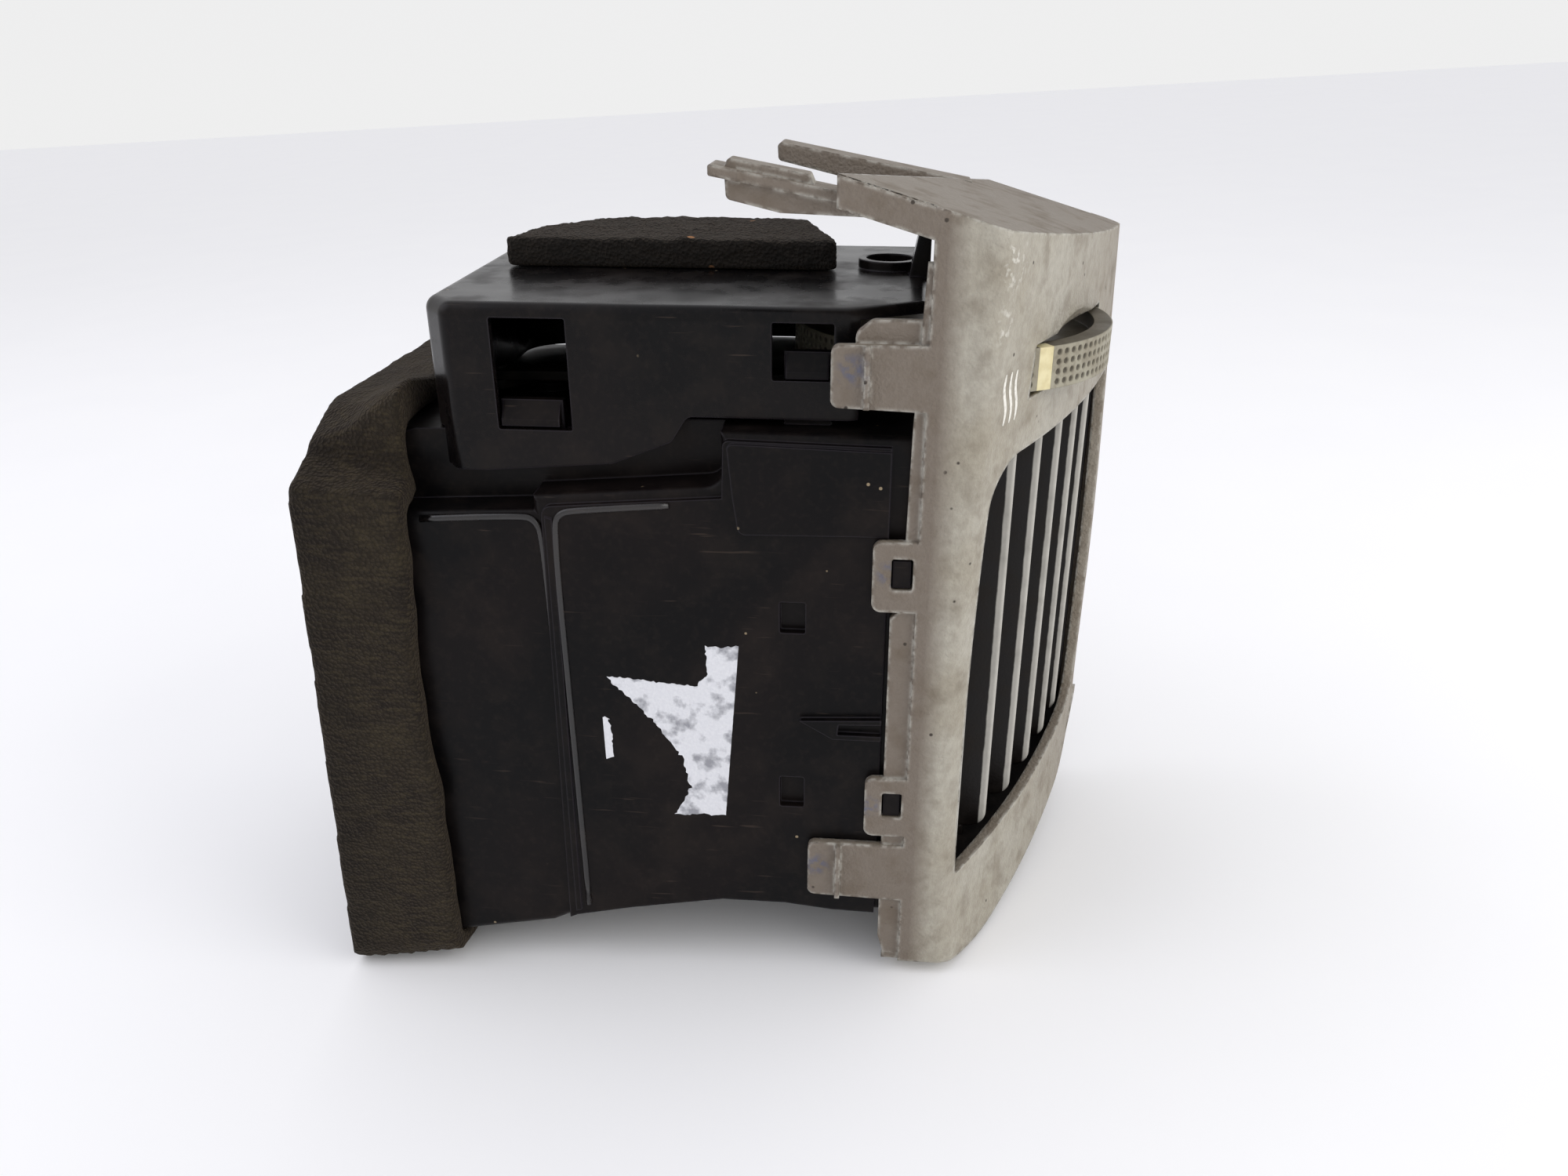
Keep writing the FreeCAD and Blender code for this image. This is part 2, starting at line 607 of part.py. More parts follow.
def make_cover():
    body = new_body("upper_cover")
    thick = size("cover_wall")
    near_x = size("cover_near_x")
    far_x = size("cover_far_x")
    plan = sketch_on(body, "XY_Plane", "CoverPlan", "Sizes.cover_low_z")
    polyline(plan, [(near_x, 61.0, 3.0), (13.4, 66.2, 5.0), (far_x, 67.4, 10.0), (far_x, -25.0), (15.0, -25.0, 2.0),
                    (near_x, -11.0, 3.0)])
    pad(body, plan, "Sizes.cover_top_z - Sizes.cover_low_z")
    top = size("cover_top_z")
    round_edges(body, 2.4, lambda edge, middle: abs(middle.z - top) < 0.01 and middle.y > -24, "TopEdges")
    inside = sketch_on(body, "XY_Plane", "CoverInside", "Sizes.cover_low_z")
    polyline(inside, [(near_x + thick, 60.4, 2.0), (13.8, 64.4, 4.0), (far_x - thick, 65.6, 8.0),
                      (far_x - thick, -30.0), (near_x + thick, -30.0)])
    cut(body, inside, "Sizes.cover_top_z - Sizes.cover_low_z - Sizes.cover_wall", reverse=True)
    # lower edge: clear of the roof, and stepping up round the shoulder of the duct
    clear_roof = sketch_on(body, "YZ_Plane", "RoofClearance", near_x + 3.9)
    polyline(clear_roof, [(-60.0, 28.4), (20.0, 28.4), (45.0, 25.9), (95.0, 25.0), (95.0, 10.0), (-60.0, 10.0)])
    cut(body, clear_roof, 90.0, reverse=True)
    shoulder = sketch_on(body, "YZ_Plane", "ShoulderClearance", near_x - 2.0)
    polyline(shoulder, [(-60.0, 29.6), (18.0, 29.6, 2.0), (21.0, 24.8, 2.0), (32.0, 20.4), (62.0, 18.0), (62.0, 5.0),
                        (-60.0, 5.0)])
    cut(body, shoulder, 8.0, reverse=True)
    # open front corner above the bezel's lug
    corner = sketch_on(body, "YZ_Plane", "FrontCorner", near_x - 2.0)
    rectangle(corner, -40.0, 20.0, -12.4, top - 1.8)
    cut(body, corner, 12.0, reverse=True)
    for name, front, rear, low, high in (("RearWindow", 39.0, 52.6, 26.4, 46.6),
                                         ("FrontWindow", -8.0, 2.8, 36.5, 46.6)):
        window = sketch_on(body, "YZ_Plane", name, near_x - 2.0)
        rectangle(window, front, low, rear, high, 0.4)
        cut(body, window, 6.0, reverse=True)
    # locating hole with a raised rim
    rim = sketch_on(body, "XY_Plane", "HoleRim", top - 1.0)
    circle(rim, 50.0, -17.0, 6.3)
    pad(body, rim, 2.8)
    hole = sketch_on(body, "XY_Plane", "Hole", top - 4.0)
    circle(hole, 50.0, -17.0, 4.8)
    cut(body, hole, 10.0, reverse=True)
    # tapered locating post near the front edge
    post = sketch_on(body, "YZ_Plane", "Post", 39.2)
    polyline(post, [(-24.8, top - 1.0), (-24.8, 59.0), (-22.8, 59.0, 0.6), (-20.6, top - 1.0)])
    pad(body, post, 5.0)
    return body


# ---- frame and vanes

def make_vane_frame():
    body = new_body("vane_frame")
    thick = size("frame_wall")
    x0 = 5.0
    x1 = 77.0
    front_inset = 3.1
    plan = sketch_on(body, "XY_Plane", "FramePlan", "Sizes.frame_low_z")
    fixed(plan, face_arc(x0, x1, front_inset))
    corners = [Vector(x1, face_y(x1, front_inset), 0), Vector(x1, 0, 0), Vector(x0, 0, 0),
               Vector(x0, face_y(x0, front_inset), 0)]
    for start, end in zip(corners, corners[1:]):
        fixed(plan, Part.LineSegment(start, end))
    pad(body, plan, "Sizes.frame_top_z - Sizes.frame_low_z")
    passage = sketch_on(body, "XZ_Plane", "Passage", -5.0)
    low = size("frame_low_z")
    high = size("frame_top_z")
    bevel = 5.4
    rise = 4.6
    polyline(passage, [(x0 + thick, low + thick), (x1 - bevel - 0.4, low + thick), (x1 - thick, low + rise + 0.4),
                       (x1 - thick, high - thick), (x0 + thick, high - thick)])
    cut(body, passage, 90.0, reverse=True)
    corner = sketch_on(body, "XZ_Plane", "FrameBevel", -5.0)
    polyline(corner, [(x1 - bevel, low), (x1 - bevel, low - 1), (x1 + 1, low - 1), (x1 + 1, low + rise), (x1, low + rise)])
    cut(body, corner, 90.0, reverse=True)
    upright = sketch_on(body, "XY_Plane", "UprightHoles", -80.0)
    for x, y in vane_axes:
        circle(upright, x, y, "Sizes.vane_pin_radius + Sizes.running_clearance")
    cut(body, upright, 120.0, reverse=True)
    level = sketch_on(body, "YZ_Plane", "LevelHoles", 0.0)
    for z in rear_axis_z:
        circle(level, rear_axis_y, z, "Sizes.vane_pin_radius + Sizes.running_clearance")
    cut(body, level, 90.0, reverse=True)
    return body


nose = 6.0
tail = 8.0
link_pin_y = 6.0
notch_y = 1.4
vane_top_z = 23.4
notch_z = 17.6
link_low_z = 18.0


def make_front_vane(number, x, y):
    body = new_body("front_vane_%d" % number)
    low = -67.4 + 0.055 * (x - first_vane_x)
    blade = sketch_on(body, "YZ_Plane", "Blade%d" % number)
    polyline(blade, [(-nose, low, 3.6), (tail, low, 0.8), (tail, notch_z), (notch_y, notch_z),
                     (notch_y, vane_top_z), (-nose, vane_top_z, 1.0)])
    pad(body, blade, "Sizes.vane_thick", both=True)

    def nose_edge(edge, middle):
        return middle.y < -nose + 0.05 and abs(middle.z) < 60
    round_edges(body, 0.8, nose_edge, "NoseRound%d" % number)
    for name, start, length in (("TopPin", vane_top_z - 0.4, 2.6), ("FootPin", -69.9, low + 70.2)):
        pin = sketch_on(body, "XY_Plane", name + str(number), start)
        circle(pin, 0, 0, "Sizes.vane_pin_radius")
        pad(body, pin, length)
    link_pin = sketch_on(body, "XY_Plane", "LinkPin%d" % number, notch_z - 0.3)
    circle(link_pin, 0, link_pin_y, "Sizes.link_pin_radius")
    pad(body, link_pin, 3.2)
    return body, at(x, y, 0)


def make_front_link():
    body = new_body("front_vane_link")
    half = 1.25
    reach = axis_inset
    strip = sketch_on(body, "XY_Plane", "LinkStrip", link_low_z)
    link_move = (0.0, link_pin_y)
    x0 = vane_x[0] - 1.6
    x1 = vane_x[-1] + 1.6
    fixed(strip, face_arc(x0, x1, reach - half, link_move))
    fixed(strip, Part.LineSegment(Vector(x1, face_y(x1, reach - half, link_move), 0),
                                  Vector(x1, face_y(x1, reach + half, link_move), 0)))
    fixed(strip, face_arc(x0, x1, reach + half, link_move))
    fixed(strip, Part.LineSegment(Vector(x0, face_y(x0, reach + half, link_move), 0),
                                  Vector(x0, face_y(x0, reach - half, link_move), 0)))
    pad(body, strip, "Sizes.link_thick")
    holes = sketch_on(body, "XY_Plane", "LinkHoles", link_low_z - 1.0)
    for x, y in vane_axes:
        circle(holes, x, y + link_pin_y, "Sizes.link_pin_radius + Sizes.running_clearance")
    cut(body, holes, 6.0, reverse=True)
    return body, at(0, 0, 0)


rear_x0 = 6.7
rear_x1 = 75.3
rear_half = 7.5
rear_link_x = 72.0
rear_link_y = 5.0


def make_rear_vane(number, z):
    body = new_body("rear_vane_%d" % number)
    half = size("vane_thick") / 2
    blade = sketch_on(body, "YZ_Plane", "RearBlade%d" % number, rear_x0)
    rectangle(blade, -rear_half, -half, rear_half, half, half - 0.1)
    pad(body, blade, rear_x1 - rear_x0)
    notch = sketch_on(body, "XZ_Plane", "RearNotch%d" % number, -rear_half - 1.0)
    rectangle(notch, rear_link_x - 1.4, -2.0, rear_x1 + 1.0, 2.0)
    cut(body, notch, rear_half + 1.0 - 1.8, reverse=True)
    for name, start, length in (("NearPin", 5.2, 1.8), ("FarPin", rear_x1 - 0.3, 1.7)):
        pin = sketch_on(body, "YZ_Plane", name + str(number), start)
        circle(pin, 0, 0, "Sizes.vane_pin_radius")
        pad(body, pin, length)
    link_pin = sketch_on(body, "YZ_Plane", "RearLinkPin%d" % number, rear_link_x - 1.8)
    circle(link_pin, rear_link_y, 0, "Sizes.link_pin_radius")
    pad(body, link_pin, 3.8)
    return body, at(0, rear_axis_y, z)


def make_rear_link():
    body = new_body("rear_vane_link")
    half = 1.4
    y = rear_axis_y + rear_link_y
    bar = sketch_on(body, "YZ_Plane", "RearBar", rear_link_x)
    rectangle(bar, y - half, rear_axis_z[0] - 2.4, y + half, rear_axis_z[-1] + 2.4, 1.2)
    pad(body, bar, "Sizes.link_thick - 0.4")
    holes = sketch_on(body, "YZ_Plane", "RearBarHoles", rear_link_x - 1.0)
    for z in rear_axis_z:
        circle(holes, y, z, "Sizes.link_pin_radius + Sizes.running_clearance")
    cut(body, holes, 5.0, reverse=True)
    return body, at(0, 0, 0)


# ---- thumbwheel and its parts

arm = size("arm_length")
arm_way = math.radians(size("arm_angle"))
arm_offset = (arm * math.cos(arm_way), arm * math.sin(arm_way))
rod_low_z = 29.6
strip_angle = 210.5


def make_wheel():
    body = new_body("thumbwheel")
    low = size("wheel_low_z")
    hollow_deep = 2.9
    web_low = low + hollow_deep
    disc = sketch_on(body, "XY_Plane", "WheelDisc", "Sizes.wheel_low_z")
    circle(disc, 0, 0, "Sizes.wheel_radius")
    pad(body, disc, "Sizes.wheel_thick")
    for name, start, reverse in (("TopHollow", low + size("wheel_thick"), False), ("FootHollow", low, True)):
        hollow = sketch_on(body, "XY_Plane", name, start)
        circle(hollow, 0, 0, "Sizes.wheel_radius - 3.5")
        circle(hollow, 0, 0, 4.0)
        cut(body, hollow, hollow_deep, reverse=reverse)
    bore = sketch_on(body, "XY_Plane", "WheelBore", low - 1.0)
    circle(bore, 0, 0, "Sizes.wheel_pin_radius + Sizes.running_clearance")
    cut(body, bore, 12.0, reverse=True)
    crank = sketch_on(body, "XY_Plane", "CrankPin", rod_low_z - 0.4)
    circle(crank, arm_offset[0], arm_offset[1], "Sizes.rod_pin_radius")
    pad(body, crank, web_low - rod_low_z + 0.6)
    seat = sketch_on(body, "XY_Plane", "StripSeat", low - 1.0)
    seat_points = strip_corners(2.6)
    polyline(seat, seat_points)
    cut(body, seat, 12.0, reverse=True)
    return body, at(wheel_axis[0], wheel_axis[1], 0)


def strip_corners(depth):
    # plan outline of the indicator strip at the rim of the wheel, before the rim trims it
    radius = size("wheel_radius")
    way = Vector(math.cos(math.radians(strip_angle)), math.sin(math.radians(strip_angle)), 0)
    across = Vector(-way.y, way.x, 0) * 1.5
    inner = way * (radius - depth)
    outer = way * (radius + 1.0)
    return [(p.x, p.y) for p in (inner - across, outer - across, outer + across, inner + across)]


def make_indicator():
    body = new_body("wheel_indicator")
    strip = sketch_on(body, "XY_Plane", "IndicatorStrip", "Sizes.wheel_low_z")
    polyline(strip, strip_corners(2.6))
    pad(body, strip, "Sizes.wheel_thick")
    rim = sketch_on(body, "XY_Plane", "IndicatorRim", size("wheel_low_z") - 1.0)
    circle(rim, 0, 0, "Sizes.wheel_radius")
    circle(rim, 0, 0, "Sizes.wheel_radius + 6")
    cut(body, rim, 12.0, reverse=True)
    return body, at(wheel_axis[0], wheel_axis[1], 0)


def make_wheel_pin():
    body = new_body("wheel_pin")
    shank = sketch_on(body, "XY_Plane", "PinShank", 27.2)
    circle(shank, 0, 0, "Sizes.wheel_pin_radius")
    pad(body, shank, 16.6)
    return body, at(wheel_axis[0], wheel_axis[1], 0)


def make_retainer():
    body = new_body("wheel_retainer")
    ring = sketch_on(body, "XY_Plane", "RetainerRing", 41.7)
    circle(ring, 0, 0, 5.0)
    circle(ring, 0, 0, "Sizes.wheel_pin_radius")
    pad(body, ring, 0.8)
    return body, at(wheel_axis[0], wheel_axis[1], 0)


# ---- shutter

def make_rod():
    body = new_body("control_rod")
    start = Vector(wheel_axis[0] + arm_offset[0], wheel_axis[1] + arm_offset[1], 0)
    end = Vector(shutter_axis[0] + arm_offset[0], shutter_axis[1] + arm_offset[1], 0)
    along = (end - start).normalize()
    across = Vector(-along.y, along.x, 0)
    half = 3.0
    plan = sketch_on(body, "XY_Plane", "RodPlan", rod_low_z)
    fixed(plan, Part.LineSegment(start + across * half, end + across * half))
    fixed(plan, Part.Arc(end + across * half, end + along * half, end - across * half))
    fixed(plan, Part.LineSegment(end - across * half, start - across * half))
    fixed(plan, Part.Arc(start - across * half, start - along * half, start + across * half))
    pad(body, plan, "Sizes.rod_thick")
    eyes = sketch_on(body, "XY_Plane", "RodEyes", rod_low_z - 1.0)
    for eye in (start, end):
        circle(eyes, eye.x, eye.y, "Sizes.rod_pin_radius + Sizes.running_clearance")
    cut(body, eyes, 5.0, reverse=True)
    return body, at(0, 0, 0)


def make_crank():
    body = new_body("damper_crank")
    low = 27.6
    thick = 1.7
    hub = sketch_on(body, "XY_Plane", "CrankHub", low)
    circle(hub, 0, 0, 4.6)
    pad(body, hub, thick)
    lever = sketch_on(body, "XY_Plane", "CrankLever", low)
    way = Vector(*arm_offset, 0).normalize()
    across = Vector(-way.y, way.x, 0) * 2.6
    tip = Vector(*arm_offset, 0)
    fixed(lever, Part.LineSegment(across, tip + across))
    fixed(lever, Part.Arc(tip + across, tip + way * 2.6, tip - across))
    fixed(lever, Part.LineSegment(tip - across, -across))
    fixed(lever, Part.LineSegment(-across, across))
    pad(body, lever, thick)
    pin = sketch_on(body, "XY_Plane", "CrankTipPin", low + thick - 0.2)
    circle(pin, arm_offset[0], arm_offset[1], "Sizes.rod_pin_radius")
    pad(body, pin, 2.8)
    bore = sketch_on(body, "XY_Plane", "CrankBore", low - 1.0)
    circle(bore, 0, 0, "Sizes.shaft_radius")
    cut(body, bore, 6.0, reverse=True)
    return body, at(shutter_axis[0], shutter_axis[1], 0)


def make_shaft():
    body = new_body("damper_shaft")
    shank = sketch_on(body, "XY_Plane", "ShaftShank", -79.0)
    circle(shank, 0, 0, "Sizes.shaft_radius")
    pad(body, shank, 79.0 + 29.3)
    return body, at(shutter_axis[0], shutter_axis[1], 0)


flap_reach = 35.0
flap_low_z = -69.6
flap_top_z = 21.4


def make_flap():
    body = new_body("damper_flap")
    leaf = sketch_on(body, "YZ_Plane", "FlapLeaf")
    polyline(leaf, [(-flap_reach, flap_low_z, 1.0), (flap_reach, flap_low_z, 1.0), (flap_reach, 7.0, 1.0),
                    (26.4, 7.0), (26.4, flap_top_z, 1.0), (-flap_reach, flap_top_z, 1.0)])
    pad(body, leaf, "Sizes.flap_thick", both=True)
    hub = sketch_on(body, "XY_Plane", "FlapHub", flap_low_z)
    circle(hub, 0, 0, 4.2)
    pad(body, hub, flap_top_z - flap_low_z)
    bore = sketch_on(body, "XY_Plane", "FlapBore", flap_low_z - 1.0)
    circle(bore, 0, 0, "Sizes.shaft_radius")
    cut(body, bore, flap_top_z - flap_low_z + 2.0, reverse=True)
    return body, at(shutter_axis[0], shutter_axis[1], 0)


def make_felt(label, y0, y1, top):
    body = new_body(label)
    sheet_plan = sketch_on(body, "YZ_Plane", label + "_plan", "Sizes.flap_thick / 2")
    rectangle(sheet_plan, y0, flap_low_z + 1.5, y1, top, 1.0)
    pad(body, sheet_plan, "Sizes.felt_thick")
    return body, at(shutter_axis[0], shutter_axis[1], 0)


# ---- foam and label

foam_front_y = 71.0
foam_rear_y = 91.6
foam_tilt = 2.6


def foam_front(out):
    # outline round the duct at the front edge of the strip: it follows the step of the duct
    near_x = size("duct_near_x") - out
    far_x = size("duct_near_x") + size("duct_width") + out
    floor = along(duct_floor, foam_front_y) - 0.1 - 0.8 * out
    ledge = ledge_z(foam_front_y) + out
    roof = along(duct_roof, foam_front_y) + out
    step_x = size("duct_near_x") + 8.0 - out
    return [(near_x, floor), (near_x, ledge), (step_x, ledge + 0.4), (step_x, roof), (step_x + 1.2, roof + 0.5),
            (far_x, roof), (far_x, floor)]


def foam_rear(out):
    # outline at the rear edge: the strip rises over the step with a slope
    near_x = size("duct_near_x") - out
    far_x = size("duct_near_x") + size("duct_width") + out
    floor = -93.2 - 0.6 * out
    roof = 22.3 + out
    step_x = size("duct_near_x") + 8.0 - 0.7 * out
    return [(near_x, floor), (near_x, 13.2 + 0.8 * out), (step_x, 17.3 + 0.8 * out), (step_x + 0.4, 18.2 + 0.8 * out),
            (20.4, roof + 0.3), (far_x, roof), (far_x, floor)]


def make_inlet_foam():
    body = new_body("inlet_foam")
    gap = 0.3
    thick = size("foam_thick")
    spare = 1.0

    def ring(name, corners, y, tilt):
        profile = sketch_on(body, "XZ_Plane", name, -y)
        profile.AttachmentOffset = Placement(Vector(0, 0, -y), Rotation(Vector(1, 0, 0), tilt))
        polyline(profile, corners)
        return profile

    outer_front = ring("FoamOuterFront", foam_front(gap + thick), foam_front_y, 0.0)
    outer_rear = ring("FoamOuterRear", foam_rear(gap + thick), foam_rear_y, foam_tilt)
    strip = body.newObject("PartDesign::AdditiveLoft", "FoamStrip")
    strip.Profile = outer_front
    strip.Sections = [outer_rear]
    strip.Ruled = True
    document.recompute()
    inner_front = ring("FoamInnerFront", foam_front(gap), foam_front_y - spare, 0.0)
    inner_rear = ring("FoamInnerRear", foam_rear(gap), foam_rear_y + spare, foam_tilt)
    inside = body.newObject("PartDesign::SubtractiveLoft", "FoamInside")
    inside.Profile = inner_front
    inside.Sections = [inner_rear]
    inside.Ruled = True
    document.recompute()
    return body, at(0, 0, 0)


def make_top_pad():
    body = new_body("top_foam_pad")
    plan = sketch_on(body, "XY_Plane", "PadPlan", "Sizes.cover_top_z + 0.1")
    polyline(plan, [(43.0, -7.0, 1.0), (43.0, 60.0, 1.0), (60.0, 57.0, 14.0), (75.5, 44.0, 18.0), (75.5, 1.6, 1.0)])
    pad(body, plan, "Sizes.pad_thick")
    return body, at(0, 0, 0)


def make_label():
    body = new_body("paper_label")
    skin_x = size("duct_near_x") - size("skin_thick")
    paper = sketch_on(body, "YZ_Plane", "LabelOutline", skin_x - size("label_thick"))
    polyline(paper, [(8.8, -13.4), (12.0, -52.0), (22.4, -52.6), (18.8, -46.0), (20.6, -38.4), (25.8, -30.8),
                     (34.6, -21.2), (30.0, -21.4), (17.4, -22.6), (15.0, -19.6), (15.2, -13.8)])
    pad(body, paper, "Sizes.label_thick")
    return body, at(0, 0, 0)


# ---- assembly

placed = []
bezel = finish_bezel(make_bezel())
placed.append((bezel, at(0, 0, 0)))
duct = finish_duct(make_duct())
placed.append((duct, at(0, 0, 0)))
placed.append((make_cover(), at(0, 0, 0)))
placed.append((make_vane_frame(), at(0, 0, 0)))
for number, (x, y) in enumerate(vane_axes, start=1):
    placed.append(make_front_vane(number, x, y))
placed.append(make_front_link())
for number, z in enumerate(rear_axis_z, start=1):
    placed.append(make_rear_vane(number, z))
placed.append(make_rear_link())
placed.append(make_wheel())
placed.append(make_indicator())
placed.append(make_wheel_pin())
placed.append(make_retainer())
placed.append(make_rod())
placed.append(make_crank())
placed.append(make_shaft())
placed.append(make_flap())
placed.append(make_felt("damper_felt_front", -flap_reach + 1.0, -5.0, flap_top_z - 1.5))
placed.append(make_felt("damper_felt_rear", 5.0, 25.4, flap_top_z - 1.5))
placed.append(make_inlet_foam())
placed.append(make_top_pad())
placed.append(make_label())
document.recompute()

# lean that brings the foot of the bezel and the foam strip onto one level surface
foam_low_z = foam_rear(0.3 + size("foam_thick"))[0][1]
foam_low_y = foam_rear_y - foam_low_z * math.sin(math.radians(foam_tilt))
foam_foot = Vector(0, foam_low_y, foam_low_z)
bezel_foot = Vector(0, -37.0, -88.3)
lean = math.degrees(math.atan2(bezel_foot.z - foam_foot.z, foam_foot.y - bezel_foot.y))
tilt = Placement(Vector(0, 0, 0), Rotation(Vector(1, 0, 0), lean))
whole = FreeCAD.BoundBox()
for piece, local in placed:
    piece.Placement = tilt.multiply(local)
document.recompute()
for piece, local in placed:
    whole.add(piece.Shape.optimalBoundingBox(True, False))
shift = Vector(-whole.Center.x, -whole.Center.y, -whole.ZMin)
standing = Placement(shift, Rotation()).multiply(tilt)
for piece, local in placed:
    piece.Placement = standing.multiply(local)
document.recompute()

# ---- checks and export

for thing in document.Objects:
    if "Invalid" in thing.State or "Error" in thing.State:
        raise RuntimeError("failed object: " + thing.Label)
for piece in pieces:
    if piece.Shape.isNull() or not piece.Shape.isValid():
        raise RuntimeError("bad shape: " + piece.Label)

os.makedirs("parts", exist_ok=True)
for piece in pieces:
    piece.Shape.exportStep("parts/%s.step" % piece.Label)
    print(piece.Label, "solids", len(piece.Shape.Solids), "volume %.1f" % piece.Shape.Volume)
print("lean", lean, "shift", shift.x, shift.y, shift.z)
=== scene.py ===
import json
import math

import bmesh
import bpy
from mathutils import Matrix, Vector, noise
from mathutils.bvhtree import BVHTree


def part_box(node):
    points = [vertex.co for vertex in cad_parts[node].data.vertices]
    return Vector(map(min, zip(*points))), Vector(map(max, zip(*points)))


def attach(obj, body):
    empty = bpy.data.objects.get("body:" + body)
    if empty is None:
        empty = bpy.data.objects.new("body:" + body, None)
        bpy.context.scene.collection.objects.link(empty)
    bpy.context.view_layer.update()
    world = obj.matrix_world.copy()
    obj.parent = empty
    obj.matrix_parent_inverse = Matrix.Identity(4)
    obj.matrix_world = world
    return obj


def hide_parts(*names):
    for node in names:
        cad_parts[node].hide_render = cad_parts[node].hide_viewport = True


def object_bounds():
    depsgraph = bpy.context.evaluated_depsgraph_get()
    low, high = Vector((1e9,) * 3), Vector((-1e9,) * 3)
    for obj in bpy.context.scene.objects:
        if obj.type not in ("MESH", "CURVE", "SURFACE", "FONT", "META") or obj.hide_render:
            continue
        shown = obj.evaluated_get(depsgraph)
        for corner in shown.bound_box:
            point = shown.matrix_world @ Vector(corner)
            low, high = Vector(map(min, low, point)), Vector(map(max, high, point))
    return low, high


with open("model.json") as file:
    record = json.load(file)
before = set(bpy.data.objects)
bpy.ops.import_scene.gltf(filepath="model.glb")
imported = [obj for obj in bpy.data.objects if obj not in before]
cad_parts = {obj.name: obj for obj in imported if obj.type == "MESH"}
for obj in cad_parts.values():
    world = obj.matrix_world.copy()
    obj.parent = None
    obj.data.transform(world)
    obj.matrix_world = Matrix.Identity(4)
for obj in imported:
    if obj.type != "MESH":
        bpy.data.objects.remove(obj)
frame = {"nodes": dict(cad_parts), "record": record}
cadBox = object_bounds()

nodes = frame["nodes"]
joints = {joint["name"]: joint for joint in frame["record"]["behaviour"]["joints"]}

# The vent leans back a little where it stands. Its own axes, in mm: x to the far side, y to the back, z up.
upAxis = Vector(joints["thumbwheel_turn"]["axis"])
backAxis = Vector((0, upAxis.z, -upAxis.y))
sideAxis = Vector((1, 0, 0))
wheelPlace = Vector((43.2, -29.6, 37.0))
mm = 0.001


def turned(x, y, z):
    return sideAxis * x + backAxis * y + upAxis * z


ventOrigin = Vector(joints["thumbwheel_turn"]["pos_m"]) - mm * turned(*wheelPlace)
leanAngle = math.atan2(backAxis.z, backAxis.y)
toRowMatrix = Matrix.Translation(ventOrigin) @ Matrix.Rotation(leanAngle, 4, "X") @ Matrix.Scale(mm, 4)
toVentMatrix = toRowMatrix.inverted()


def toRow(x, y, z):
    return ventOrigin + mm * turned(x, y, z)


# the face is part of an upright cylinder, and the vane axes stand inside it
face = {"radius": 268.2, "centreX": 149.7, "centreY": 190.2, "vaneInset": 8.6}

print("frame loaded,", len(nodes), "parts")


# materials

def hexColor(code):
    channels = [int(code[i:i + 2], 16) / 255 for i in (1, 3, 5)]
    return tuple(c / 12.92 if c <= 0.04045 else ((c + 0.055) / 1.055) ** 2.4 for c in channels) + (1.0,)


def addNode(tree, kind, inputs=None, **settings):
    node = tree.nodes.new(kind)
    for name, value in settings.items():
        setattr(node, name, value)
    for key, value in (inputs or {}).items():
        if isinstance(value, bpy.types.NodeSocket):
            tree.links.new(value, node.inputs[key])
        else:
            node.inputs[key].default_value = value
    return node


def newMaterial(name):
    material = bpy.data.materials.new(name)
    material.use_nodes = True
    tree = material.node_tree
    coordinates = addNode(tree, "ShaderNodeTexCoord")
    turn = Matrix.Rotation(-leanAngle, 4, "X")
    ventPoint = addNode(tree, "ShaderNodeMapping", {
        0: coordinates.outputs["Object"], 1: turn @ (-ventOrigin / mm),
        2: (-leanAngle, 0, 0), 3: (1 / mm, 1 / mm, 1 / mm)}, vector_type="POINT")
    return material, tree, tree.nodes["Principled BSDF"], ventPoint.outputs[0]


def noiseValue(tree, point, sizeMm, detail=2.0, low=0.4, high=0.6, roughness=0.5):
    # soft patches about sizeMm across, as a mask from 0 to 1
    pattern = addNode(tree, "ShaderNodeTexNoise", {
        "Vector": point, "Scale": 1 / sizeMm, "Detail": detail, "Roughness": roughness})
    mask = addNode(tree, "ShaderNodeMapRange", {0: pattern.outputs[0], 1: low, 2: high})
    return mask.outputs[0]


def times(tree, a, b):
    return addNode(tree, "ShaderNodeMath", {0: a, 1: b}, operation="MULTIPLY", use_clamp=True).outputs[0]


def layered(tree, base, layers):
    # each layer is (mask, colour), painted over what is below it
    for mask, code in layers:
        mixed = addNode(tree, "ShaderNodeMix", {0: mask, 6: base, 7: hexColor(code)}, data_type="RGBA")
        base = mixed.outputs[2]
    return base


def nearPoints(tree, point, places, axes):
    # mask that is 1 near each (x, y, z, reach), measured along the given axes only
    total = None
    flat = addNode(tree, "ShaderNodeVectorMath", {0: point, 1: axes}, operation="MULTIPLY").outputs[0]
    for x, y, z, reach in places:
        centre = (x * axes[0], y * axes[1], z * axes[2])
        distance = addNode(tree, "ShaderNodeVectorMath", {0: flat, 1: centre}, operation="DISTANCE")
        mask = addNode(tree, "ShaderNodeMapRange", {0: distance.outputs["Value"], 1: reach, 2: reach * 0.3})
        if total is not None:
            mask = addNode(tree, "ShaderNodeMath", {0: total, 1: mask.outputs[0]}, operation="MAXIMUM")
        total = mask.outputs[0]
    return total


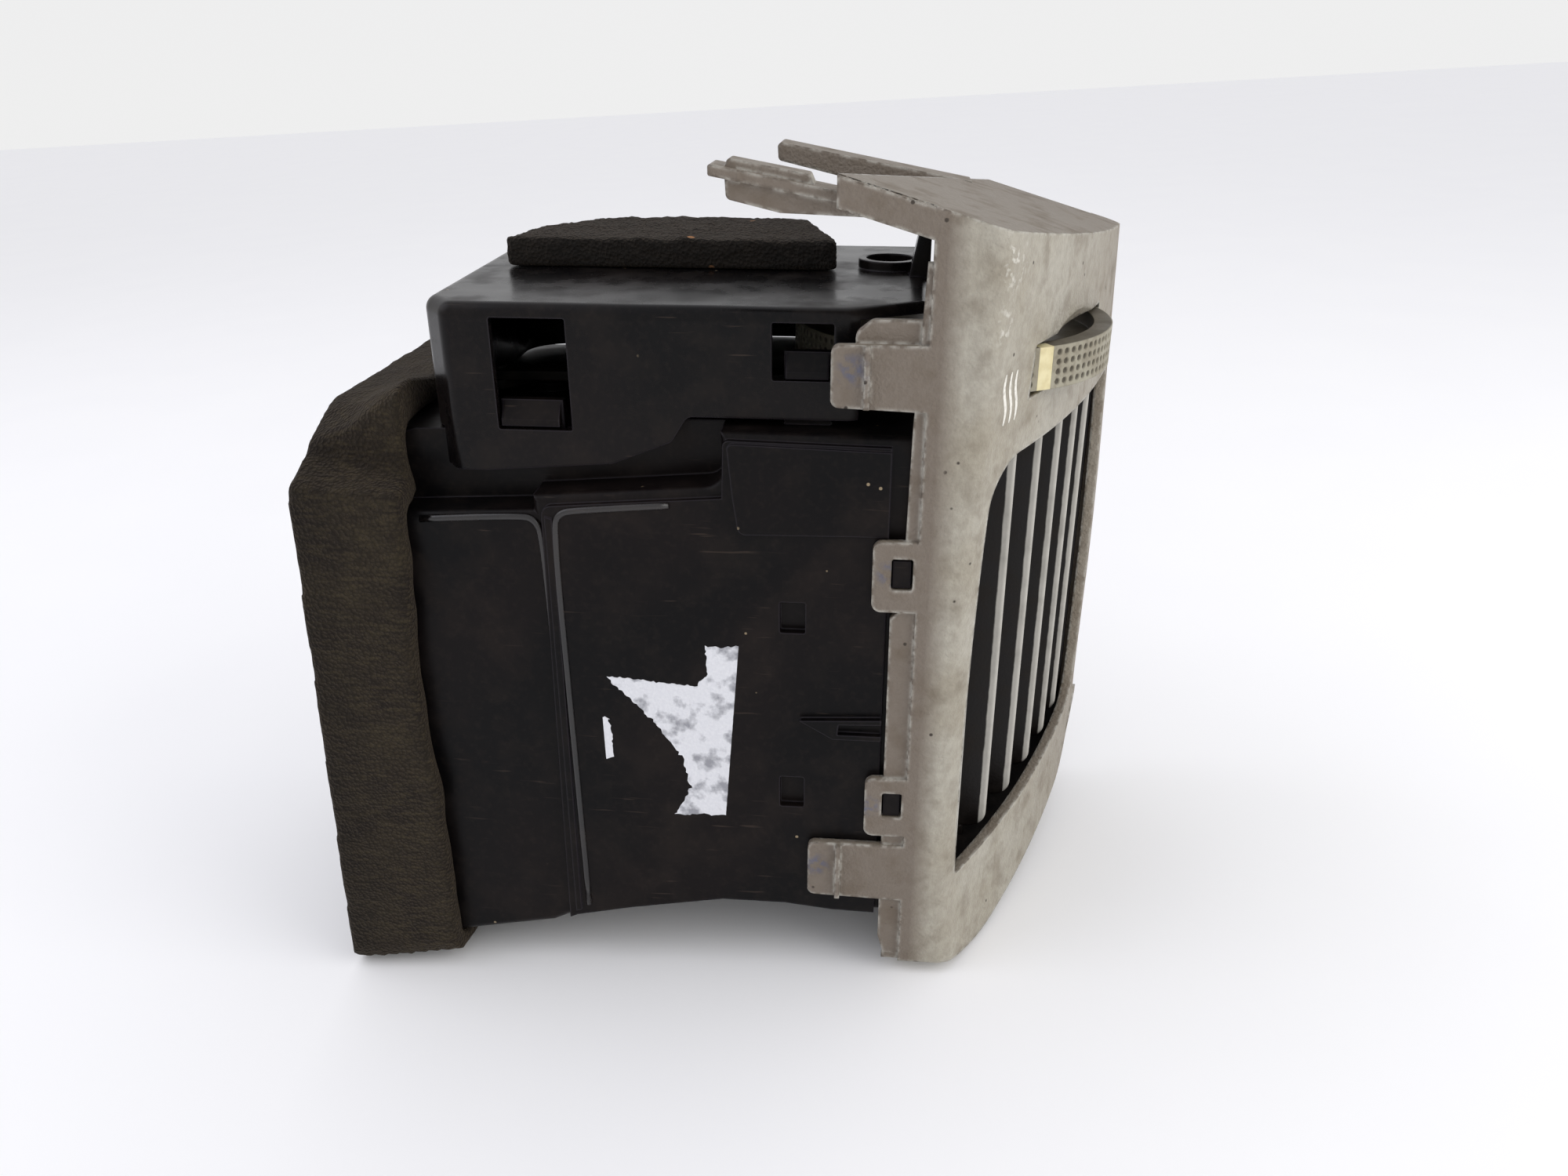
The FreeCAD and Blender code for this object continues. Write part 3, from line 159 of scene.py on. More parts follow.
def edgeMask(tree, radiusMm, low=0.97, high=0.80):
    # 1 along the edges of a moulding: worn edges, and on black plastic a painted edge highlight
    bevel = addNode(tree, "ShaderNodeBevel", {"Radius": radiusMm * mm}, samples=6)
    surface = addNode(tree, "ShaderNodeNewGeometry")
    agree = addNode(tree, "ShaderNodeVectorMath", {0: bevel.outputs[0], 1: surface.outputs["Normal"]},
                    operation="DOT_PRODUCT")
    mask = addNode(tree, "ShaderNodeMapRange", {0: agree.outputs["Value"], 1: low, 2: high})
    return mask.outputs[0]


def relief(tree, heights, roundMm):
    # bumps stacked on edges that are softened by roundMm; heights is a list of (height socket, depth in mm)
    normal = addNode(tree, "ShaderNodeBevel", {"Radius": roundMm * mm}, samples=6).outputs[0]
    for height, depth in heights:
        normal = addNode(tree, "ShaderNodeBump", {
            "Height": height, "Distance": depth * mm, "Strength": 1.0, "Normal": normal}).outputs[0]
    return normal


def finishShader(tree, shader, color, roughness, normal, **constants):
    tree.links.new(color, shader.inputs["Base Color"])
    if isinstance(roughness, bpy.types.NodeSocket):
        tree.links.new(roughness, shader.inputs["Roughness"])
    else:
        shader.inputs["Roughness"].default_value = roughness
    tree.links.new(normal, shader.inputs["Normal"])
    for name, value in constants.items():
        shader.inputs[name.replace("_", " ")].default_value = value


bezelLook = {
    # the front faces take the lit colour; the side, top and far-side colours are darker copies painting shade
    # on faces turned from the light, the side colour also the browner flange plastic and the far-side colour
    # also grime
    "lit": "#aaa598", "cloud": "#9c9585", "side": "#73695e", "top": "#71675a", "farShadeAndGrime": "#7b7061",
    "grime": "#5d5040", "worn": "#cfccc2", "speck": "#33291f", "ink": "#4d5876",
    "grainMm": 0.65, "cloudMm": 17.0, "grimeMm": 6.0, "speckMm": 5.0,
    # (x, y, z, reach) of scuffs on the crest and of pen marks on the clips
    "scuffs": [(1.0, 0, 58.0, 7.0), (1.0, 0, 48.0, 4.0), (14.0, 0, 64.0, 5.0), (26.0, 0, 66.0, 6.0)],
    "ink marks": [(0, -11.5, 40.5, 3.4), (0, -19.0, 3.4, 3.0), (0, -16.5, -47.0, 3.0), (0, -6.6, -62.0, 3.2)],
}


def mouldedPolypropylene():
    # moulded PP with a fine etched grain: a dull beige grey, grimy in patches and rubbed pale on its edges,
    # with painted shade on its top, side, rear-facing and far faces
    look = bezelLook
    material, tree, shader, point = newMaterial("grainedPolypropylene")
    surface = addNode(tree, "ShaderNodeNewGeometry")
    facing = addNode(tree, "ShaderNodeSeparateXYZ", {0: surface.outputs["Normal"]})
    place = addNode(tree, "ShaderNodeSeparateXYZ", {0: point})
    sideBrownAndShade = addNode(tree, "ShaderNodeMapRange", {0: facing.outputs["X"], 1: -0.45, 2: -0.85}).outputs[0]
    # only the flange and clips behind the rounded rim are the browner, cleaner plastic; the darker side
    # colour on their side faces is also painted shade
    behindRim = addNode(tree, "ShaderNodeMapRange", {0: place.outputs["Y"], 1: -30.0, 2: -26.0}).outputs[0]
    sideBrownAndShade = times(tree, sideBrownAndShade, behindRim)
    # painted shade: faces turned to the back take the darker side colour
    rearFacingShade = addNode(tree, "ShaderNodeMapRange", {0: facing.outputs["Y"], 1: 0.2, 2: 0.6}).outputs[0]
    # painted shade: faces turned up take the darker top colour
    topShadeMask = addNode(tree, "ShaderNodeMapRange", {0: facing.outputs["Z"], 1: 0.35, 2: 0.75}).outputs[0]
    # darker towards the far side: painted shade of the light falling off, with some grime
    farShadeAndGrimeMask = addNode(tree, "ShaderNodeMapRange", {0: place.outputs["X"], 1: 22.0, 2: 84.0}).outputs[0]
    cloud = noiseValue(tree, point, look["cloudMm"], 3.0, 0.38, 0.66)
    grime = noiseValue(tree, point, look["grimeMm"], 4.0, 0.5, 0.72)
    fine = noiseValue(tree, point, 1.6, 3.0, 0.35, 0.65)
    wear = times(tree, edgeMask(tree, 1.3), noiseValue(tree, point, 2.2, 3.0, 0.40, 0.56))
    scuffed = nearPoints(tree, point, look["scuffs"], (1, 0, 1))
    frontward = addNode(tree, "ShaderNodeMapRange", {0: facing.outputs["Y"], 1: -0.35, 2: -0.7}).outputs[0]
    scratch = times(tree, times(tree, scuffed, frontward), noiseValue(tree, point, 1.3, 4.0, 0.54, 0.64))
    penMark = times(tree, nearPoints(tree, point, look["ink marks"], (0, 1, 1)),
                    noiseValue(tree, point, 1.5, 2.0, 0.42, 0.62))
    specks = addNode(tree, "ShaderNodeTexVoronoi", {"Vector": point, "Scale": 1 / look["speckMm"]})
    speck = addNode(tree, "ShaderNodeMapRange", {0: specks.outputs["Distance"], 1: 0.085, 2: 0.05}).outputs[0]
    sparse = noiseValue(tree, point, 9.0, 1.0, 0.5, 0.56)
    color = layered(tree, hexColor(look["lit"]), [
        (cloud, look["cloud"]),
        (times(tree, farShadeAndGrimeMask, 0.75), look["farShadeAndGrime"]),
        (times(tree, topShadeMask, 0.85), look["top"]),
        (sideBrownAndShade, look["side"]),
        (rearFacingShade, look["side"]),
        (times(tree, fine, 0.20), look["grime"]),
        (times(tree, grime, 0.42), look["grime"]),
        (times(tree, wear, 0.75), look["worn"]),
        (times(tree, scratch, 0.8), look["worn"]),
        (times(tree, penMark, 0.6), look["ink"]),
        (times(tree, speck, sparse), look["speck"])])
    # grit of the etched grain is about 0.2 mm in the real moulding, drawn coarser so that it shows
    grain = addNode(tree, "ShaderNodeTexNoise", {
        "Vector": point, "Scale": 1 / look["grainMm"], "Detail": 3.0})
    roughness = addNode(tree, "ShaderNodeMapRange", {0: grime, 3: 0.52, 4: 0.72}).outputs[0]
    normal = relief(tree, [(grain.outputs[0], 0.30)], 1.2)
    finishShader(tree, shader, color, roughness, normal, IOR=1.49)
    return material


ductLook = {
    "base": "#090809", "warm": "#110d0d", "dust": "#40362f", "rubAndSheen": "#3a363c", "crumb": "#8c7d66",
    "waveMm": 16.0, "dustMm": 9.0, "crumbMm": 8.0,
}


def mouldedAbs(name="blackAbs", gloss=0.32, shine=0.10, edgeRubAndSheen=0.7):
    # injection-moulded black ABS: near black and shiny, with a film of dust, hairline rubs, pale crumbs, and
    # lavender grey edges that are partly rubbed and partly a painted highlight
    look = ductLook
    material, tree, shader, point = newMaterial(name)
    film = noiseValue(tree, point, look["dustMm"], 4.0, 0.48, 0.78)
    fine = noiseValue(tree, point, 1.2, 4.0, 0.5, 0.8)
    warm = noiseValue(tree, point, 30.0, 1.0, 0.4, 0.6)
    # hairline rubs run mostly front to back
    stretched = addNode(tree, "ShaderNodeVectorMath", {0: point, 1: (1.0, 0.06, 1.0)}, operation="MULTIPLY")
    hairs = noiseValue(tree, stretched.outputs[0], 0.7, 2.0, 0.67, 0.72)
    hairs = times(tree, hairs, noiseValue(tree, point, 12.0, 1.0, 0.5, 0.62))
    crumbs = addNode(tree, "ShaderNodeTexVoronoi", {"Vector": point, "Scale": 1 / look["crumbMm"]})
    crumb = addNode(tree, "ShaderNodeMapRange", {0: crumbs.outputs["Distance"], 1: 0.045, 2: 0.03}).outputs[0]
    edges = edgeMask(tree, 0.5)
    color = layered(tree, hexColor(look["base"]), [
        (warm, look["warm"]),
        (times(tree, film, 0.16), look["dust"]),
        (times(tree, fine, 0.10), look["dust"]),
        (times(tree, hairs, 0.45), look["dust"]),
        # lavender grey along the edges: partly rubbed wear, partly a painted highlight
        (times(tree, edges, edgeRubAndSheen), look["rubAndSheen"]),
        (times(tree, crumb, noiseValue(tree, point, 13.0, 1.0, 0.5, 0.54)), look["crumb"])])
    roughness = addNode(tree, "ShaderNodeMapRange", {0: film, 3: gloss, 4: gloss + 0.24}).outputs[0]
    wave = addNode(tree, "ShaderNodeTexNoise", {"Vector": point, "Scale": 1 / look["waveMm"], "Detail": 1.0})
    normal = relief(tree, [(wave.outputs[0], 0.5)], 0.6)
    finishShader(tree, shader, color, roughness, normal, IOR=1.54, Specular_IOR_Level=shine)
    return material


vaneLook = {"body": "#100c0a", "dust": "#2e2720", "nose": "#b3b0a8", "noseDeep": 0.9, "tip": 6.0}


def vanePaint():
    # black PA vane whose front edge was sprayed light grey, the edge of the paint a little uneven
    look = vaneLook
    material, tree, shader, point = newMaterial("sprayedNylon")
    flat = addNode(tree, "ShaderNodeVectorMath", {0: point, 1: (1, 1, 0)}, operation="MULTIPLY")
    centre = (face["centreX"], face["centreY"] - look["tip"], 0)
    reach = addNode(tree, "ShaderNodeVectorMath", {0: flat.outputs[0], 1: centre}, operation="DISTANCE")
    tipRadius = face["radius"] - face["vaneInset"]
    ragged = addNode(tree, "ShaderNodeTexNoise", {"Vector": point, "Scale": 1 / 3.0, "Detail": 3.0})
    shifted = addNode(tree, "ShaderNodeMath", {0: ragged.outputs[0], 1: 0.3, 2: reach.outputs["Value"]},
                      operation="MULTIPLY_ADD")
    paintEdge = tipRadius - look["noseDeep"]
    nose = addNode(tree, "ShaderNodeMapRange", {
        0: shifted.outputs[0], 1: paintEdge, 2: paintEdge + 0.25}).outputs[0]
    smudge = noiseValue(tree, point, 5.0, 3.0, 0.45, 0.75)
    color = layered(tree, hexColor(look["body"]), [
        (times(tree, smudge, 0.3), look["dust"]),
        (nose, look["nose"]),
        (times(tree, times(tree, nose, smudge), 0.22), look["dust"])])
    grain = addNode(tree, "ShaderNodeTexNoise", {"Vector": point, "Scale": 1 / 0.6, "Detail": 2.0})
    roughness = addNode(tree, "ShaderNodeMapRange", {0: smudge, 3: 0.42, 4: 0.62}).outputs[0]
    finishShader(tree, shader, color, roughness, relief(tree, [(grain.outputs[0], 0.04)], 0.35),
                 IOR=1.53, Specular_IOR_Level=0.22)
    return material


def innerNylon():
    # black moulded PA of the frame, link bars and crank, dry and dusty
    material, tree, shader, point = newMaterial("blackNylon")
    dust = noiseValue(tree, point, 4.0, 4.0, 0.45, 0.75)
    color = layered(tree, hexColor("#0e0b0a"), [(times(tree, dust, 0.28), "#3a3128")])
    grain = addNode(tree, "ShaderNodeTexNoise", {"Vector": point, "Scale": 1 / 0.7, "Detail": 2.0})
    roughness = addNode(tree, "ShaderNodeMapRange", {0: dust, 3: 0.48, 4: 0.7}).outputs[0]
    finishShader(tree, shader, color, roughness, relief(tree, [(grain.outputs[0], 0.06)], 0.4),
                 IOR=1.53, Specular_IOR_Level=0.22)
    return material


def wheelPlastic():
    # dull acetal of the thumbwheel, the shade of the bezel, its colour darker down in its dimples
    material, tree, shader, point = newMaterial("thumbedAcetal")
    cloud = noiseValue(tree, point, 6.0, 3.0, 0.4, 0.65)
    grime = noiseValue(tree, point, 1.1, 3.0, 0.48, 0.7)
    axisPlace = addNode(tree, "ShaderNodeVectorMath", {0: point, 1: (1, 1, 0)}, operation="MULTIPLY")
    fromAxis = addNode(tree, "ShaderNodeVectorMath", {
        0: axisPlace.outputs[0], 1: (wheelPlace.x, wheelPlace.y, 0)}, operation="DISTANCE")
    # the colour darkens below the rim, down in the dimples
    sunk = addNode(tree, "ShaderNodeMapRange", {
        0: fromAxis.outputs["Value"],
        1: wheelLook["radius"] - 0.10,
        2: wheelLook["radius"] - 0.30}).outputs[0]
    color = layered(tree, hexColor("#999482"), [
        (cloud, "#8b8472"), (times(tree, grime, 0.35), "#5a4f3c"), (times(tree, sunk, 0.85), "#3c3426")])
    grain = addNode(tree, "ShaderNodeTexNoise", {"Vector": point, "Scale": 1 / 0.5, "Detail": 2.0})
    roughness = addNode(tree, "ShaderNodeMapRange", {0: cloud, 3: 0.42, 4: 0.6}).outputs[0]
    finishShader(tree, shader, color, roughness, relief(tree, [(grain.outputs[0], 0.03)], 0.3), IOR=1.48)
    return material


def indicatorPlastic():
    # cream acetal strip set in the wheel, slightly translucent and yellowed
    material, tree, shader, point = newMaterial("creamAcetal")
    stain = noiseValue(tree, point, 2.0, 3.0, 0.4, 0.7)
    color = layered(tree, hexColor("#e0d6ac"), [(times(tree, stain, 0.5), "#bfae78")])
    grain = addNode(tree, "ShaderNodeTexNoise", {"Vector": point, "Scale": 1 / 0.6, "Detail": 2.0})
    finishShader(tree, shader, color, 0.42, relief(tree, [(grain.outputs[0], 0.02)], 0.25), IOR=1.48)
    shader.inputs["Subsurface Weight"].default_value = 0.15
    shader.inputs["Subsurface Radius"].default_value = (0.0012, 0.001, 0.0006)
    return material


foamLook = {"base": "#211b16", "streak": "#403828", "deep": "#0d0a08", "crumb": "#9a6d48", "cellMm": 0.7}


def openCellFoam(name, base, streak, deep):
    # open-cell polyurethane foam, sooty and crumbling: matt, pitted, darker towards the back, with rubbed
    # streaks and tan crumbs
    look = foamLook
    material, tree, shader, point = newMaterial(name)
    cells = addNode(tree, "ShaderNodeTexVoronoi", {"Vector": point, "Scale": 1 / look["cellMm"]})
    pits = addNode(tree, "ShaderNodeMapRange", {0: cells.outputs["Distance"], 1: 0.25, 2: 0.8}).outputs[0]
    # rub marks slant up towards the front
    slanted = addNode(tree, "ShaderNodeMapping", {0: point, 2: (math.radians(32), 0, 0), 3: (1.0, 0.22, 1.3)})
    streaks = noiseValue(tree, slanted.outputs[0], 1.0, 4.0, 0.46, 0.66)
    place = addNode(tree, "ShaderNodeSeparateXYZ", {0: point})
    # the colour darkens towards the back, from y 82 to 96 mm
    darkerToBack = addNode(tree, "ShaderNodeMapRange", {0: place.outputs["Y"], 1: 82.0, 2: 96.0, 4: 0.75}).outputs[0]
    patches = noiseValue(tree, point, 12.0, 3.0, 0.4, 0.7)
    crumbs = addNode(tree, "ShaderNodeTexVoronoi", {"Vector": point, "Scale": 1 / 11.0})
    crumb = addNode(tree, "ShaderNodeMapRange", {0: crumbs.outputs["Distance"], 1: 0.08, 2: 0.05}).outputs[0]
    color = layered(tree, hexColor(base), [
        (times(tree, patches, 0.45), streak),
        (times(tree, streaks, 0.6), streak),
        (times(tree, pits, 0.5), deep),
        (darkerToBack, deep),
        (times(tree, crumb, noiseValue(tree, point, 21.0, 1.0, 0.5, 0.53)), look["crumb"])])
    fibre = addNode(tree, "ShaderNodeTexNoise", {"Vector": point, "Scale": 1 / 0.5, "Detail": 4.0})
    normal = relief(tree, [(pits, 0.35), (fibre.outputs[0], 0.25)], 0.3)
    finishShader(tree, shader, color, 0.93, normal, IOR=1.45, Specular_IOR_Level=0.25, Sheen_Weight=0.25,
                 Sheen_Roughness=0.5, Sheen_Tint=hexColor("#8a7a68"))
    return material


def pressedFelt():
    # pressed wool felt on the flap: charcoal, matt, fibrous
    material, tree, shader, point = newMaterial("pressedFelt")
    fibre = addNode(tree, "ShaderNodeTexNoise", {"Vector": point, "Scale": 1 / 0.5, "Detail": 5.0})
    mottle = noiseValue(tree, point, 3.0, 4.0, 0.4, 0.65)
    color = layered(tree, hexColor("#37342f"), [(mottle, "#4b463f")])
    finishShader(tree, shader, color, 0.95, relief(tree, [(fibre.outputs[0], 0.4)], 0.3),
                 IOR=1.5, Sheen_Weight=0.5, Sheen_Roughness=0.6)
    return material


def turnedSteel():
    # zinc-plated turned steel: grey metal with fine rings and dull spots
    material, tree, shader, point = newMaterial("platedSteel")
    rings = addNode(tree, "ShaderNodeVectorMath", {0: point, 1: (0.1, 0.1, 1.0)}, operation="MULTIPLY")
    brushed = noiseValue(tree, rings.outputs[0], 0.25, 2.0, 0.35, 0.65)
    dull = noiseValue(tree, point, 2.5, 3.0, 0.45, 0.65)
    color = layered(tree, hexColor("#7d7c79"), [(times(tree, dull, 0.5), "#55524d")])
    roughness = addNode(tree, "ShaderNodeMapRange", {0: brushed, 3: 0.25, 4: 0.45}).outputs[0]
    finishShader(tree, shader, color, roughness, relief(tree, [(brushed, 0.01)], 0.2), Metallic=1.0)
    return material


def tornPaper():
    # coated label paper torn off its backing: white where the face is left, grey where only the glue layer is
    material, tree, shader, point = newMaterial("tornPaper")
    thin = noiseValue(tree, point, 3.4, 5.0, 0.52, 0.68)
    fibre = noiseValue(tree, point, 0.6, 4.0, 0.4, 0.7)
    color = layered(tree, hexColor("#d9dadf"), [
        (times(tree, fibre, 0.25), "#f2f2f4"), (times(tree, thin, 0.75), "#6f7078")])
    grain = addNode(tree, "ShaderNodeTexNoise", {"Vector": point, "Scale": 1 / 0.7, "Detail": 4.0})
    finishShader(tree, shader, color, 0.8, relief(tree, [(grain.outputs[0], 0.12)], 0.05), IOR=1.45)
    return material


def printInk():
    # pad-printed white ink, thin enough that the grain breaks it up
    material, tree, shader, point = newMaterial("padPrintInk")
    worn = noiseValue(tree, point, 0.8, 3.0, 0.5, 0.7)
    color = layered(tree, hexColor("#e6e3da"), [(times(tree, worn, 0.5), "#a8a294")])
    grain = addNode(tree, "ShaderNodeTexNoise", {"Vector": point, "Scale": 1 / 0.6, "Detail": 2.0})
    finishShader(tree, shader, color, 0.6, relief(tree, [(grain.outputs[0], 0.02)], 0.05), IOR=1.5)
    return material


wheelLook = {
    "radius": 31.0, "rows": 4, "columns": 107, "pitch": 1.78, "dimpleRadius": 0.68, "depthShare": 0.30,
    # middle of the cream strip in degrees, and the pitches from there to the first dimples
    "stripAngle": 210.5, "stripGap": 1.7,
}
bezelPlastic = mouldedPolypropylene()
blackAbs = mouldedAbs()
coverAbs = mouldedAbs("blackAbsCover", 0.24, 0.13)
polishedAbs = mouldedAbs("polishedAbs", 0.16, 0.55, 0.0)
sprayedNylon = vanePaint()
blackNylon = innerNylon()
thumbedAcetal = wheelPlastic()
creamAcetal = indicatorPlastic()
sealFoam = openCellFoam("sootyFoam", foamLook["base"], foamLook["streak"], foamLook["deep"])
padFoam = openCellFoam("blackFoam", "#171513", "#26211d", "#0a0908")
felt = pressedFelt()
steel = turnedSteel()
paper = tornPaper()
whiteInk = printInk()

nodeFinish = {
    "bezel": bezelPlastic, "duct": blackAbs, "upper_cover": coverAbs, "vane_frame": blackNylon,
    "wheel_pin": steel, "wheel_retainer": steel, "damper_shaft": steel, "wheel_indicator": creamAcetal,
    "thumbwheel": thumbedAcetal, "damper_flap": blackAbs, "damper_felt_front": felt, "damper_felt_rear": felt,
    "inlet_foam": sealFoam, "top_foam_pad": padFoam, "paper_label": paper,
}
for name, node in nodes.items():
    finish = nodeFinish.get(name)
    if finish is None:
        finish = sprayedNylon if name.startswith("front_vane_") and name[-1].isdigit() else blackNylon
    if not node.material_slots:
        node.data.materials.append(finish)
    for materialSlot in node.material_slots:
        materialSlot.material = finish
print("materials on")


# pieces

def newPiece(name, mesh, material, body):
    piece = bpy.data.objects.new(name, mesh)
    bpy.context.scene.collection.objects.link(piece)
    mesh.materials.clear()
    mesh.materials.append(material)
    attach(piece, body)
    return piece


def mergedCopy(nodeName, matrix=None):
    mesh = nodes[nodeName].data.copy()
    if matrix is not None:
        mesh.transform(matrix)
    build = bmesh.new()
    build.from_mesh(mesh)
    bmesh.ops.remove_doubles(build, verts=build.verts, dist=1e-3 if matrix is not None else 1e-6)
    build.to_mesh(mesh)
    build.free()
    return mesh


def remeshed(name, mesh, voxel, smoothing):
    # closed form of even small quads, with its corners softened; mesh is in mm
    draft = bpy.data.objects.new(name, mesh)
    bpy.context.scene.collection.objects.link(draft)
    voxels = draft.modifiers.new("Voxels", "REMESH")
    voxels.mode = "VOXEL"
    voxels.voxel_size = voxel
    voxels.use_smooth_shade = True
    soften = draft.modifiers.new("Soften", "SMOOTH")
    soften.factor = 0.5
    soften.iterations = smoothing
    evaluated = draft.evaluated_get(bpy.context.evaluated_depsgraph_get())
    result = bpy.data.meshes.new_from_object(evaluated)
    bpy.data.objects.remove(draft)
    return result


def ridged(point, size, seed):
    return noise.fractal(Vector(point) / size + Vector((seed, seed * 1.7, -seed)), 0.9, 2.1, 4)


stripShape = {
    "voxel": 0.85, "smoothing": 14, "frontEdge": 71.0, "frontDepth": 12.0, "centre": (41.0, 0, -34.0),
    "rough": 0.28, "lumps": 0.6, "wave": 2.6, "waveLength": 26.0, "nickLength": 9.0, "cornerRadius": 5.5,
    "sliceDepth": 3.0,
    # where the strip climbs over the step: how far it stands up, and its place and spread
    "drape": 4.6, "climbX": 11.0, "climbWidth": 13.0, "climbFoot": 14.0, "climbHeight": 9.0,
}


def makeFoamStrip():
    shape = stripShape
    plain = mergedCopy("inlet_foam", toVentMatrix)
    mesh = remeshed("foamStripDraft", plain, shape["voxel"], shape["smoothing"])
    centre = Vector(shape["centre"])
    lowest = {}
    for vertex in mesh.vertices:
        # underside of the strip in each slice from front to back
        band = round(vertex.co.y / shape["sliceDepth"])
        lowest[band] = min(lowest.get(band, 0.0), vertex.co.z)
    nearest = min(vertex.co.x for vertex in mesh.vertices)
    farthest = max(vertex.co.x for vertex in mesh.vertices)
    radius = shape["cornerRadius"]
    moved = []
    for vertex in mesh.vertices:
        point = vertex.co.copy()
        # round the two lower outer corners
        insetX = min(point.x - nearest, farthest - point.x)
        insetZ = point.z - lowest[round(point.y / shape["sliceDepth"])]
        if insetX < radius and insetZ < radius:
            reach = math.hypot(radius - insetX, radius - insetZ)
            if reach > radius:
                sign = 1.0 if point.x - nearest < farthest - point.x else -1.0
                pull = 1.0 - radius / reach
                point.x += sign * (radius - insetX) * pull
                point.z += (radius - insetZ) * pull
        away = point - centre
        away.y = 0
        outward = max(0.0, vertex.normal.dot(away.normalized()))
        height = 0.5 + 0.5 * ridged(point, 3.0, 4.0)
        lump = 0.5 + 0.5 * ridged((point.x, point.y * 0.5, point.z), 16.0, 9.0)
        push = outward * (shape["rough"] * height + shape["lumps"] * lump)
        point += vertex.normal * max(0.0, push)
        # front edge wanders, and the strip stands proud where it climbs over the step
        front = max(0.0, 1.0 - (point.y - shape["frontEdge"] + 1.0) / shape["frontDepth"])
        wave = shape["waveLength"]
        nick = shape["nickLength"]
        wander = noise.noise(Vector((away.x / wave, 3.7, away.z / wave)))
        wander += 0.3 * noise.noise(Vector((away.x / nick, 8.1, away.z / nick)))
        point.y += wander * shape["wave"] * min(1.0, front)
        climb = math.exp(-((point.x - shape["climbX"]) / shape["climbWidth"]) ** 2)
        climb *= max(0.0, min(1.0, (point.z - shape["climbFoot"]) / shape["climbHeight"]))
        point.z += shape["drape"] * climb * front * min(1.0, max(0.0, outward * 1.5))
        moved.append(point)
    for vertex, point in zip(mesh.vertices, moved):
        vertex.co = toRowMatrix @ point
    strip = newPiece("inletFoamStrip", mesh, sealFoam, "housing")
    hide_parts("inlet_foam")
    return strip


padShape = {"voxel": 0.8, "smoothing": 3, "rough": 0.30, "lumps": 0.35, "foot": 49.6}


def makeTopPad():
    shape = padShape
    plain = mergedCopy("top_foam_pad", toVentMatrix)
    mesh = remeshed("topPadDraft", plain, shape["voxel"], shape["smoothing"])
    moved = []
    for vertex in mesh.vertices:
        point = vertex.co.copy()
        free = min(1.0, max(0.0, (point.z - shape["foot"]) / 1.5))
        push = shape["rough"] * ridged(point, 1.6, 3.0) + shape["lumps"] * ridged(point, 9.0, 7.0)
        point += vertex.normal * push * free
        moved.append(point)
    for vertex, point in zip(mesh.vertices, moved):
        vertex.co = toRowMatrix @ point
    pad = newPiece("topFoamPad", mesh, padFoam, "housing")
    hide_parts("top_foam_pad")
    return pad


makeFoamStrip()
makeTopPad()
print("foam laid")


beadShape = {
    "radius": 0.7,
    # (x, y, z) along the two rounded edges of the step in the duct's near side, front edge then rear edge
    "front": [(1.9, 21.0, 14.6), (1.9, 38.0, 13.2), (1.9, 41.4, 12.4), (1.9, 42.6, 9.5), (1.9, 42.3, -30.0),
              (1.9, 42.0, -77.0)],
    "rear": [(3.0, 68.0, 10.0), (3.0, 49.0, 11.4), (3.0, 46.2, 10.6), (2.6, 44.9, 7.5), (2.5, 44.6, -30.0),
             (2.5, 44.2, -77.4)],
}


def makeStepBeads():
    # rounded edges that catch the light, each a half-sunk rod along its edge
    meshes = []
    for name in ("front", "rear"):
        line = bpy.data.curves.new(name, "CURVE")
        line.dimensions = "3D"
        line.bevel_depth = beadShape["radius"] * mm
        line.bevel_resolution = 4
        line.use_fill_caps = True
        line.resolution_u = 10
        spline = line.splines.new("NURBS")
        route = beadShape[name]
        spline.points.add(len(route) - 1)
        for knot, place in zip(spline.points, route):
            knot.co = (*toRow(*place), 1.0)
        spline.order_u = 3
        spline.use_endpoint_u = True
        draft = bpy.data.objects.new(name, line)
        bpy.context.scene.collection.objects.link(draft)
        evaluated = draft.evaluated_get(bpy.context.evaluated_depsgraph_get())
        meshes.append(bpy.data.meshes.new_from_object(evaluated))
        bpy.data.objects.remove(draft)
    build = bmesh.new()
    for part in meshes:
        build.from_mesh(part)
    bmesh.ops.remove_doubles(build, verts=build.verts, dist=1e-6)
    bmesh.ops.recalc_face_normals(build, faces=build.faces)
    for polygon in build.faces:
        polygon.smooth = True
    mesh = bpy.data.meshes.new("stepBeads")
    build.to_mesh(mesh)
    build.free()
    return newPiece("stepBeads", mesh, polishedAbs, "housing")


makeStepBeads()
print("beads on")


labelShape = {
    "step": 0.5, "tear": 0.55, "seed": 11,
    # (y, z) round the torn label, then round the sliver left beside it
    "label": [(8.8, -13.4), (12.0, -52.0), (22.4, -52.6), (18.8, -46.0), (20.6, -38.4), (25.8, -30.8),
              (34.6, -21.2), (30.0, -21.4), (17.4, -22.6), (15.0, -19.6), (15.2, -13.8)],
    "sliver": [(36.0, -30.4), (35.9, -39.9), (34.6, -39.4), (34.7, -30.2)],
}


def tornOutline(corners, step, tear, seed, cleanEdges=1):
    # the first edges are cut clean, the others torn
    points = []
    for index, start in enumerate(corners):
        end = corners[(index + 1) % len(corners)]
        a = Vector(start)
        b = Vector(end)
        across = Vector((b.y - a.y, a.x - b.x)).normalized()
        count = max(1, round((b - a).length / step))
        amount = 0.03 if index < cleanEdges else tear
        for part in range(count):
            place = a.lerp(b, part / count)
            jag = noise.noise(Vector((place.x / 1.1, place.y / 1.1, seed)))
            jag += 0.6 * noise.noise(Vector((place.x / 0.45, place.y / 0.45, seed + 5)))
            points.append(place + across * jag * amount)
    return points


